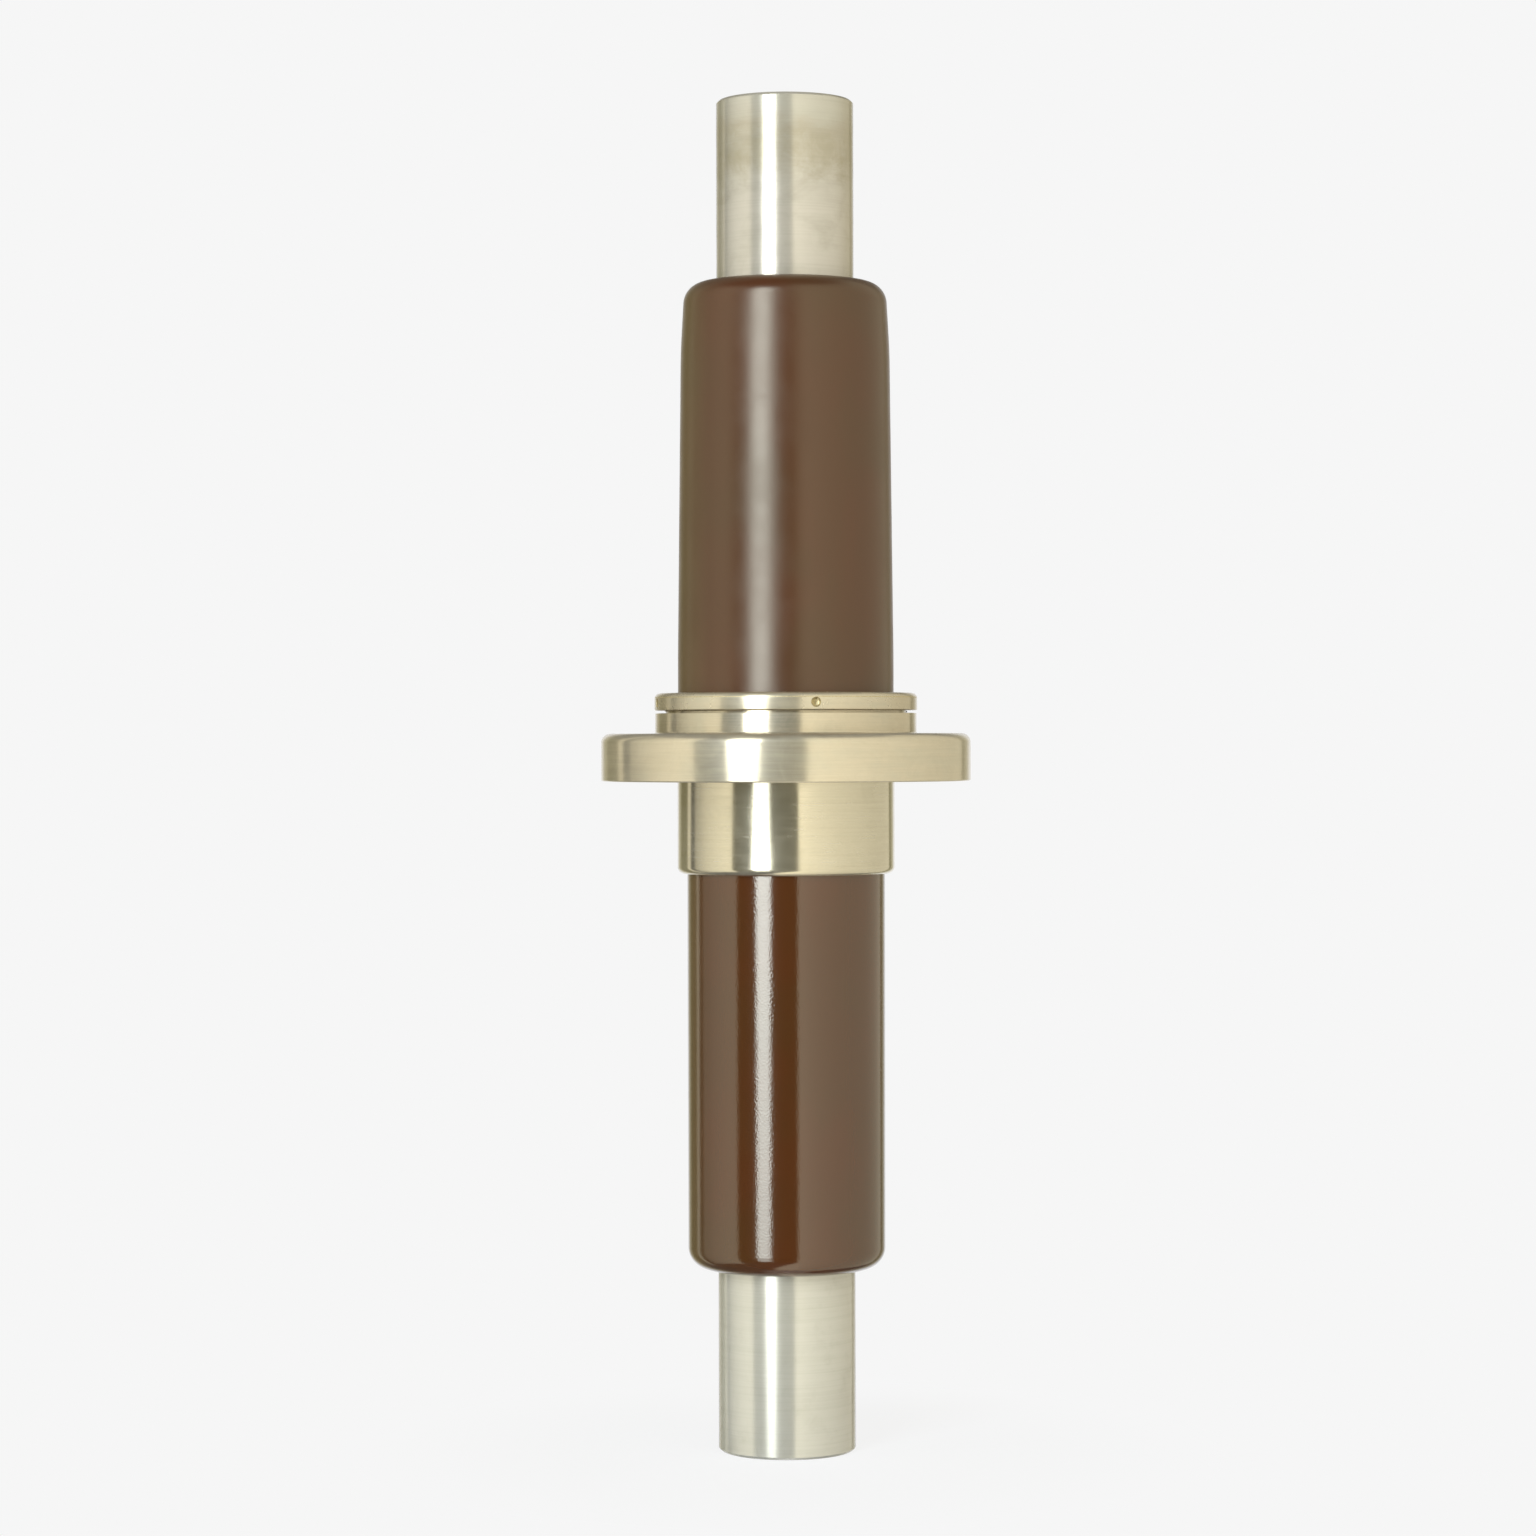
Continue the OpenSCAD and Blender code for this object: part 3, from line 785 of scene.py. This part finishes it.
def conductor_section(sizes, lathe):
    """Half section of the bar, from the lower lathe centre to the upper one."""
    low = bottom("conductor")
    high = top("conductor")
    r = outer_radius("conductor")
    waist_r = r - sizes.waist_depth
    mouth = sizes.centre_mouth_r
    pilot = sizes.centre_pilot_r
    cone_h = (mouth - pilot) / math.tan(sizes.centre_half_angle)
    pilot_end = cone_h + sizes.centre_pilot_len
    edge = lathe.edge_break
    return rounded_outline([
        (0, low + pilot_end, 0),
        (pilot, low + pilot_end, 0),
        (pilot, low + cone_h, 0),
        (mouth, low, edge),
        (r - sizes.chamfer, low, edge),
        (r, low + sizes.chamfer, edge),
        (r, bottom("insulating_body"), 0),
        (waist_r, bottom("insulating_body"), 0),
        (waist_r, top("insulating_body"), 0),
        (r, top("insulating_body"), 0),
        (r, high - sizes.chamfer, edge),
        (r - sizes.chamfer, high, edge),
        (mouth, high, edge),
        (pilot, high - cone_h, 0),
        (pilot, high - pilot_end, 0),
        (0, high - pilot_end, 0),
    ], False, lathe)


def resin_section(sizes, waist_depth, lathe):
    """Closed half section of the resin body."""
    low = bottom("insulating_body")
    high = top("insulating_body")
    bar_r = outer_radius("conductor")
    bore_r = bar_r - waist_depth
    upper_r = bar_r + sizes.upper_wall
    lower_r = bar_r + sizes.lower_wall
    collar_r = outer_radius("insulating_body")
    collar_low = top("collar_gasket_lower")
    collar_high = bottom("collar_gasket_upper")
    chamfer = sizes.collar_chamfer
    taper_end_r = upper_r - sizes.long_taper_drop
    taper_end_z = high - sizes.short_taper_len
    return rounded_outline([
        (bore_r, low, 0),
        (lower_r - sizes.lower_drop, low, sizes.lower_edge_r),
        (lower_r, bottom("flange"), 0),
        (lower_r, collar_low, 0),
        (collar_r - chamfer, collar_low, 0),
        (collar_r, collar_low + chamfer, 0),
        (collar_r, collar_high - chamfer, 0),
        (collar_r - chamfer, collar_high, 0),
        (upper_r, collar_high, 0),
        (upper_r, top("retaining_ring") + sizes.straight_len, sizes.taper_blend_r),
        (taper_end_r, taper_end_z, sizes.taper_blend_r),
        (taper_end_r - sizes.short_taper_drop, high, sizes.upper_edge_r),
        (bore_r, high, 0),
    ], True, lathe)


def flange_section(sizes, lathe):
    """Closed half section of the flange: sleeve, wide flange, neck, spigot and bores."""
    low = bottom("flange")
    flange_r = outer_radius("flange")
    neck_r = flange_r - sizes.land
    ledge = bottom("collar_gasket_lower")
    collar_bore_r = outer_radius("thrust_washer") + sizes.seal_inset
    spigot_r = collar_bore_r + sizes.spigot_wall - sizes.thread_depth
    oring_floor_r = outer_radius("sleeve_oring_upper")
    lower_body_r = outer_radius("conductor") + bpy.context.scene.bushing_resin.lower_wall
    sleeve_bore_r = lower_body_r + sizes.fit_play
    sleeve_r = sleeve_bore_r + sizes.sleeve_wall
    band_floor_r = outer_radius("earth_contact_band")
    edge = lathe.edge_break
    corners = [
        (sleeve_bore_r + sizes.mouth_chamfer, low, edge),
        (sleeve_r, low, sizes.sleeve_edge_r),
        (sleeve_r, 0, sizes.sleeve_root_r),
        (flange_r - sizes.lower_chamfer, 0, edge),
        (flange_r, sizes.lower_chamfer, edge),
        (flange_r, sizes.thickness, sizes.edge_r),
        (neck_r, sizes.thickness, sizes.neck_root_r),
        (neck_r, sizes.thickness + sizes.neck_h, edge),
        (spigot_r, sizes.thickness + sizes.neck_h, 0),
        (spigot_r, top("flange"), edge),
        (collar_bore_r, top("flange"), edge),
    ]
    corners += groove_corners(
        collar_bore_r, band_floor_r, "earth_contact_band", sizes.band_end_play
    )
    corners += [(collar_bore_r, ledge, 0), (sleeve_bore_r, ledge, 0)]
    for oring in ("sleeve_oring_upper", "sleeve_oring_lower"):
        corners += groove_corners(sleeve_bore_r, oring_floor_r, oring, sizes.oring_side_play)
    corners.append((sleeve_bore_r, low + sizes.mouth_chamfer, 0))
    return rounded_outline(corners, True, lathe)


def groove_corners(bore_r, floor_r, held, play):
    """Corners of a groove in a bore, met from above, round the node that it holds."""
    high = top(held) + play
    low = bottom(held) - play
    return [(bore_r, high, 0), (floor_r, high, 0), (floor_r, low, 0), (bore_r, low, 0)]


def ring_section(sizes, lathe):
    """Closed half section of the ring nut with its lip."""
    low = bottom("retaining_ring")
    high = top("retaining_ring")
    r = outer_radius("retaining_ring")
    lip_low = top("thrust_washer")
    upper_r = outer_radius("conductor") + bpy.context.scene.bushing_resin.upper_wall
    edge = lathe.edge_break
    return rounded_outline([
        (r - sizes.wall, low, edge),
        (r - sizes.lower_chamfer, low, edge / 2),
        (r, low + sizes.lower_chamfer, edge / 2),
        (r, high, sizes.edge_r),
        (upper_r + sizes.lip_play, high, edge),
        (upper_r + sizes.lip_play, lip_low, edge),
        (r - sizes.wall, lip_low, 0),
    ], True, lathe)


def drills_round(name, points, segments, count, first_angle, radius, height, lying):
    """Turns one drill and copies it round the axis, standing up or lying and pointing outwards."""
    first = turn_piece(name, points, segments)
    drills = [first] + [copy_piece(first) for i in range(count - 1)]
    for i, drill in enumerate(drills):
        angle = first_angle + i / count * FULL_TURN
        place = (radius * math.cos(angle), radius * math.sin(angle), height)
        place_cutter(drill, place, (0, math.pi / 2, angle) if lying else (0, 0, 0))
    return join_pieces(drills)


def bolt_hole_cutters(sizes):
    """Drills with a countersink at both faces of the wide flange, on the bolt circle."""
    mouth_r = sizes.bolt_hole_r + sizes.bolt_hole_chamfer + OVERRUN
    points = [
        (0, -OVERRUN),
        (mouth_r, -OVERRUN),
        (sizes.bolt_hole_r, sizes.bolt_hole_chamfer),
        (sizes.bolt_hole_r, sizes.thickness - sizes.bolt_hole_chamfer),
        (mouth_r, sizes.thickness + OVERRUN),
        (0, sizes.thickness + OVERRUN),
    ]
    half_step = FULL_TURN / sizes.bolt_count / 2
    circle_r = outer_radius("flange") - sizes.land / 2
    return drills_round(
        "bolt_drill", points, sizes.bolt_hole_segments, sizes.bolt_count, half_step, circle_r, 0, False
    )


def spanner_hole_cutters(sizes):
    """Drills with their tip and countersink, pointing inwards at the ring nut's wall."""
    points = [
        (0, -sizes.hole_r / math.tan(sizes.drill_half_angle)),
        (sizes.hole_r, 0),
        (sizes.hole_r, sizes.hole_depth - sizes.hole_chamfer),
        (sizes.hole_r + sizes.hole_chamfer + OVERRUN, sizes.hole_depth + OVERRUN),
        (0, sizes.hole_depth + OVERRUN),
    ]
    return drills_round(
        "spanner_drill", points, sizes.hole_segments, sizes.hole_count,
        sizes.hole_angle - math.pi / 2, outer_radius("retaining_ring") - sizes.hole_depth,
        bottom("retaining_ring") + sizes.hole_rise, True,
    )


def spigot_thread(sizes, lathe):
    """A ridge that climbs round the spigot, its foot sunk into the wall."""
    pitch = sizes.thread_pitch
    flank = pitch * sizes.thread_flank_share
    crest = pitch * sizes.thread_crest_share
    sunk = 0.05 * MM
    lift = 0.1 * MM
    crest_r = outer_radius("thrust_washer") + sizes.seal_inset + sizes.spigot_wall
    foot_r = crest_r - sizes.thread_depth - sunk
    start = sizes.thickness + sizes.neck_h + lift
    profile = [
        (foot_r, start),
        (crest_r, start + flank),
        (crest_r, start + flank + crest),
        (foot_r, start + flank + crest + flank),
        (foot_r, start),
    ]
    ridge = draw_profile("spigot_thread", profile)
    select_only(ridge)
    climb = ridge.modifiers.new("Climb", "SCREW")
    climb.axis = "Z"
    climb.angle = FULL_TURN
    climb.screw_offset = pitch
    climb.iterations = int((top("flange") - start - pitch) / pitch)
    climb.steps = lathe.segments
    climb.render_steps = lathe.segments
    bpy.ops.object.modifier_apply(modifier=climb.name)
    bpy.ops.object.mode_set(mode="EDIT")
    bpy.ops.mesh.select_all(action="SELECT")
    bpy.ops.mesh.fill_holes(sides=len(profile))
    bpy.ops.mesh.select_all(action="SELECT")
    bpy.ops.mesh.normals_make_consistent(inside=False)
    bpy.ops.object.mode_set(mode="OBJECT")
    return ridge


# The room round the bushing, as levels and tints by direction

def direction_angles(tree):
    """The direction of a ray: degrees round from the camera's side, and degrees above level."""
    x, y, z = add_node(tree, "ShaderNodeTexCoord", output="Generated").parts()
    around = x.maths("ARCTAN2", y * -1.0).maths("DEGREES")
    return around, z.maths("ARCSINE").maths("DEGREES")


def levels_round(around, stops):
    """A level that runs round the room through (degrees, level) stops."""
    ramp = around.tree.nodes.new("ShaderNodeValToRGB")
    fill_sockets(ramp, {0: around.ease(-180.0, 180.0, interpolation="LINEAR")})
    elements = ramp.color_ramp.elements
    while len(elements) < len(stops):
        elements.new(0.5)
    for element, (degrees, level) in zip(elements, stops):
        element.position = (degrees + 180) / 360
        element.color = (level, level, level, 1)
    return Signal(ramp.outputs[0])


def strip_light(studio, around, above):
    """The narrow front light, dimmer, narrower and softer towards its lower end."""
    left_shift = 2.0
    right_shift = -2.2
    end_soft = 3.0
    lower = above.ease(1.0, -3.0)
    soft = lower.lerp(0.8, 2.2)
    left = lower * left_shift + math.degrees(studio.strip_left)
    right = lower * right_shift + math.degrees(studio.strip_right)
    wide = around.ease(left - soft, left + soft) * around.ease(right - soft, right + soft, 1.0, 0.0)
    tall = above.window(math.degrees(studio.strip_low), math.degrees(studio.strip_high), end_soft)
    dimmed = above.ease(-12.0, -1.0, 0.34, 0.96, "LINEAR")
    return wide * (tall * dimmed)


def side_panel(studio, side, around, above, lean):
    """A tall soft panel beside the bushing. Where it leans, its foot spreads to the front."""
    soft = 2.0
    lean_below = 30.0
    end_soft = 6.0
    edges = [getattr(studio, side + "_panel_" + edge) for edge in ("near", "far", "low", "high")]
    near, far, low, high = (math.degrees(edge) for edge in edges)
    below = (above * -1.0 - lean_below).larger(0.0)
    wide = (around + below * lean).window(min(near, far), max(near, far), soft)
    return wide * above.window(low, high, end_soft)


def past_angles(around, left, right, soft):
    """1 behind two angles to the left and right of the camera, and 0 between them."""
    left = math.degrees(left)
    right = math.degrees(right)
    past_left = around.ease(left - soft, left + soft, 1.0, 0.0)
    return past_left.larger(around.ease(right - soft, right + soft))


def light_path(tree, kind):
    return add_node(tree, "ShaderNodeLightPath", output="Is " + kind + " Ray")


def mix_shaders(share, a, b):
    return add_node(share.tree, "ShaderNodeMixShader", {0: share, 1: a, 2: b})


def studio_world(studio):
    """Lights the bushing by a ring of soft panels, and shows the camera a plain backdrop."""
    world = bpy.data.worlds.new("studio")
    tree = empty_tree(world)
    around, above = direction_angles(tree)
    strip = strip_light(studio, around, above)
    left = side_panel(studio, "left", around, above, 0.0)
    right = side_panel(studio, "right", around, above, 1.0)
    left_level = levels_round(around, [
        (-129, 0.72), (-123, 0.76), (-121, 0.06), (-115, 0.06), (-112, 0.40),
        (-104, 0.51), (-95, 0.69), (-85, 0.81), (-70, 0.96), (-60, 1.0),
    ])
    right_level = levels_round(around, [
        (12, 1.12), (16, 1.10), (27, 0.96), (40, 0.85), (60, 0.74),
        (84, 0.66), (107, 0.60), (127, 0.59), (136, 0.64),
    ])
    right_gain = 1.12
    rear_gain = 0.10
    backdrop_soft = 8.0
    wall_soft = 1.5

    highest = math.degrees(studio.backdrop_high)
    under_top = above.ease(highest - backdrop_soft, highest + backdrop_soft, 1.0, 0.0)
    behind = past_angles(around, studio.backdrop_left, studio.backdrop_right, backdrop_soft)
    behind = behind * under_top
    wall = past_angles(around, studio.wall_left, studio.wall_right, wall_soft) * under_top
    rear = around.maths("ABSOLUTE").ease(90.0, 115.0)
    high_rear = rear * above.window(30.0, 76.0, 16.0)

    dark = rear.lerp(studio.dark_level, studio.dark_level + rear_gain)
    room = above.ease(15.0, 60.0, dark, studio.overhead_level)
    room = high_rear.lerp(room, studio.rear_level)
    room = above.ease(-20.0, -50.0).lerp(room, studio.low_level)
    room = above.ease(-72.0, -80.0).lerp(room, studio.floor_level)
    room = wall.lerp(room, studio.wall_level)
    room = behind.lerp(room, studio.backdrop)
    room = left.lerp(room, left_level)
    room = right.lerp(room, right_level * right_gain)
    room = room + strip * studio.strip_level

    colour = above.window(-30.0, 20.0, 20.0).blend(studio.room_tint, studio.level_tint)
    colour = left.larger(right).blend(colour, studio.panel_tint)
    colour = wall.blend(colour, studio.wall_tint)
    colour = behind.blend(colour, WHITE)
    colour = strip.ease(0.0, 0.2).blend(colour, studio.strip_tint)

    seen = light_path(tree, "Camera").larger(light_path(tree, "Transmission"))
    seen = seen.larger(light_path(tree, "Glossy") * behind)
    lights = add_node(tree, "ShaderNodeBackground", {"Color": colour, "Strength": room})
    backdrop = add_node(tree, "ShaderNodeBackground", {"Color": WHITE, "Strength": studio.backdrop})
    show_surface(tree, "ShaderNodeOutputWorld", mix_shaders(seen, lights, backdrop))
    return world


def floor_material(studio):
    """Pale floor, as bright to the camera as the backdrop, that keeps the bar's shadow.
    It is seen from above alone, and metal doesn't mirror it."""
    material = bpy.data.materials.new("pale_floor")
    tree = empty_tree(material)
    place = add_node(tree, "ShaderNodeTexCoord", output="Object")
    shadow_share = 0.2
    lit_level = 0.48
    fade_starts = studio.floor_radius * 0.25
    fade_ends = studio.floor_radius * 0.9
    depth = studio.floor_gap - bottom("conductor")
    shadow_fades = math.hypot(depth, fade_starts)
    shadow_ends = math.hypot(depth, fade_ends)
    distance = add_node(tree, "ShaderNodeVectorMath", {0: place}, "Value", operation="LENGTH")
    near = distance.ease(shadow_fades, shadow_ends, shadow_share, 0.0)
    away = near * -1.0 + 1.0
    made_up = near * -lit_level + studio.backdrop
    pale = noise(place, 60.0, 3.0).blend(studio.floor_shade, studio.floor_light)
    lit = add_node(tree, "ShaderNodeBsdfDiffuse", {"Color": pale})
    glow_inputs = {"Color": WHITE, "Strength": made_up.maths("DIVIDE", away)}
    glow = add_node(tree, "ShaderNodeEmission", glow_inputs)
    seen = light_path(tree, "Camera").larger(light_path(tree, "Transmission"))
    face = mix_shaders(seen * away, lit, glow)
    backs = add_node(tree, "ShaderNodeNewGeometry", output="Backfacing")
    unseen = backs.larger(light_path(tree, "Glossy"))
    clear = add_node(tree, "ShaderNodeBsdfTransparent")
    show_surface(tree, "ShaderNodeOutputMaterial", mix_shaders(unseen, face, clear))
    return material


# Operators: one for each piece, and one for the stage

class BUSHING_OT_conductor(bpy.types.Operator):
    """Turn the silver-plated conductor bar with its chamfers and lathe centres"""

    bl_idname = "bushing.conductor"
    bl_label = "Conductor bar"

    def execute(self, context):
        scene = context.scene
        points = conductor_section(scene.bushing_conductor, scene.bushing_lathe)
        bar = turn_piece("conductor_bar", points, scene.bushing_lathe.segments)
        finish_piece(bar, "conductor", [silver_material(scene.bushing_finish)])
        return {"FINISHED"}


class BUSHING_OT_resin_body(bpy.types.Operator):
    """Turn the resin body, satin on the air side and glossy on the oil side"""

    bl_idname = "bushing.resin_body"
    bl_label = "Resin body"

    def execute(self, context):
        scene = context.scene
        lathe = scene.bushing_lathe
        finish = scene.bushing_finish
        points = resin_section(scene.bushing_resin, scene.bushing_conductor.waist_depth, lathe)
        body = turn_piece("resin_body", points, lathe.segments)
        finishes = [satin_resin_material(finish), gloss_resin_material(finish)]
        finish_piece(body, "insulating_body", finishes)
        border = middle("earth_contact_band")
        for face in body.data.polygons:
            face.material_index = 0 if face.center.z > border else 1
        return {"FINISHED"}


class BUSHING_OT_flange(bpy.types.Operator):
    """Turn the brass flange, drill its bolt holes and cut the spigot's thread"""

    bl_idname = "bushing.flange"
    bl_label = "Brass flange"

    def execute(self, context):
        scene = context.scene
        sizes = scene.bushing_flange
        lathe = scene.bushing_lathe
        flange = turn_piece("brass_flange", flange_section(sizes, lathe), lathe.segments)
        cut_away(flange, bolt_hole_cutters(sizes))
        flange = join_pieces([flange, spigot_thread(sizes, lathe)])
        # depth is the share of painted edge-on shade on each brass
        finishes = [
            brass_material(
                "brass_sleeve", scene.bushing_finish, roughness=0.18, anisotropy=0.80,
                clearness=0.86, groove_depth=0.003 * MM, lacquer=0.35,
            ),
            brass_material(
                "brass_neck", scene.bushing_finish, roughness=0.22, anisotropy=0.90,
                clearness=0.76, groove_depth=0.006 * MM, lacquer=0.80, depth=0.28,
            ),
            brass_material(
                "brass_rim", scene.bushing_finish, roughness=0.22, anisotropy=0.96,
                clearness=0.67, groove_depth=0.007 * MM, lacquer=1.00, depth=0.10,
            ),
        ]
        finish_piece(flange, "flange", finishes)
        rim_starts = outer_radius("flange") - sizes.land / 2
        for face in flange.data.polygons:
            if math.hypot(face.center.x, face.center.y) > rim_starts:
                face.material_index = 2
            elif face.center.z > sizes.lower_chamfer:
                face.material_index = 1
        return {"FINISHED"}


class BUSHING_OT_ring_nut(bpy.types.Operator):
    """Turn the brass ring nut and drill its spanner holes"""

    bl_idname = "bushing.ring_nut"
    bl_label = "Ring nut"

    def execute(self, context):
        scene = context.scene
        sizes = scene.bushing_ring
        lathe = scene.bushing_lathe
        ring = turn_piece("brass_ring_nut", ring_section(sizes, lathe), lathe.ring_segments)
        cut_away(ring, spanner_hole_cutters(sizes))
        # depth is the share of painted edge-on shade on the ring nut's brass
        finishes = [
            brass_material(
                "brass_ring_turned", scene.bushing_finish, roughness=0.25, anisotropy=0.88,
                clearness=0.61, groove_depth=0.006 * MM, lacquer=0.95, depth=0.52,
            ),
            drilled_brass_material(scene.bushing_finish),
        ]
        finish_piece(ring, "retaining_ring", finishes)
        hole_z = bottom("retaining_ring") + sizes.hole_rise
        hole_half = sizes.hole_r + sizes.hole_chamfer + lathe.edge_break
        wall_r = outer_radius("retaining_ring")
        for face in ring.data.polygons:
            radius = math.hypot(face.center.x, face.center.y)
            in_wall = wall_r - sizes.wall + lathe.edge_break < radius < wall_r - lathe.edge_break / 4
            if in_wall and abs(face.center.z - hole_z) < hole_half:
                face.material_index = 1
        return {"FINISHED"}


class BUSHING_OT_sealed_parts(bpy.types.Operator):
    """Finish the washer, the seals and the contact band that are sealed inside"""

    bl_idname = "bushing.sealed_parts"
    bl_label = "Sealed parts"

    def execute(self, context):
        finish = context.scene.bushing_finish
        rubber = rubber_material(finish)
        dressed = {
            "thrust_washer": washer_material(finish),
            "collar_gasket_lower": rubber,
            "collar_gasket_upper": rubber,
            "sleeve_oring_upper": rubber,
            "sleeve_oring_lower": rubber,
            "earth_contact_band": bronze_material(finish),
        }
        for node, material in dressed.items():
            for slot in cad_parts[node].material_slots:
                slot.link = "OBJECT"
                slot.material = material
        return {"FINISHED"}


class BUSHING_OT_stage(bpy.types.Operator):
    """Lay the pale floor, light the studio and set up the camera"""

    bl_idname = "bushing.stage"
    bl_label = "Floor, light and camera"

    def execute(self, context):
        scene = context.scene
        studio = scene.bushing_studio
        deselect_all()
        height = bottom("conductor") - studio.floor_gap
        bpy.ops.mesh.primitive_circle_add(
            vertices=studio.floor_segments, radius=studio.floor_radius, fill_type="NGON",
            location=(0, 0, height),
        )
        floor = context.object
        floor.name = "floor"
        bpy.ops.object.transform_apply(location=True, rotation=True, scale=True)
        bpy.ops.object.mode_set(mode="EDIT")
        bpy.ops.mesh.inset(thickness=studio.floor_radius / 2)
        bpy.ops.object.mode_set(mode="OBJECT")
        floor.data.materials.append(floor_material(studio))
        scene.world = studio_world(studio)
        scene.view_settings.view_transform = "Standard"
        bpy.ops.object.camera_add(
            location=(0, -studio.camera_distance, studio.camera_height),
            rotation=(math.pi / 2 - studio.camera_pitch, studio.camera_roll, studio.camera_yaw),
        )
        camera = context.object
        camera.name = "camera"
        camera.data.sensor_width = studio.camera_sensor
        camera.data.lens = studio.camera_lens
        camera.data.clip_start = studio.camera_near
        camera.data.clip_end = studio.camera_far
        scene.camera = camera
        return {"FINISHED"}


PIECE_OPERATORS = (
    BUSHING_OT_stage,
    BUSHING_OT_conductor,
    BUSHING_OT_resin_body,
    BUSHING_OT_flange,
    BUSHING_OT_ring_nut,
    BUSHING_OT_sealed_parts,
)


class BUSHING_PT_panel(bpy.types.Panel):
    """The bushing's pieces and sizes"""

    bl_idname = "BUSHING_PT_panel"
    bl_label = "Transformer bushing"
    bl_space_type = "VIEW_3D"
    bl_region_type = "UI"
    bl_category = "Bushing"

    def draw(self, context):
        for operator in PIECE_OPERATORS:
            self.layout.operator(operator.bl_idname)
        for group in SETTINGS:
            box = self.layout.box()
            settings = getattr(context.scene, group)
            box.label(text=settings.bl_rna.name)
            for name in settings.__annotations__:
                box.prop(settings, name)


CLASSES = tuple(SETTINGS.values()) + PIECE_OPERATORS + (BUSHING_PT_panel,)


def register():
    for cls in CLASSES:
        bpy.utils.register_class(cls)
    for name, cls in SETTINGS.items():
        setattr(bpy.types.Scene, name, bpy.props.PointerProperty(type=cls))


def unregister():
    for name in SETTINGS:
        delattr(bpy.types.Scene, name)
    for cls in reversed(CLASSES):
        bpy.utils.unregister_class(cls)


def main():
    register()
    bpy.ops.bushing.stage()
    bpy.ops.bushing.conductor()
    bpy.ops.bushing.resin_body()
    bpy.ops.bushing.flange()
    bpy.ops.bushing.ring_nut()
    bpy.ops.bushing.sealed_parts()


if __name__ == "__main__":
    main()
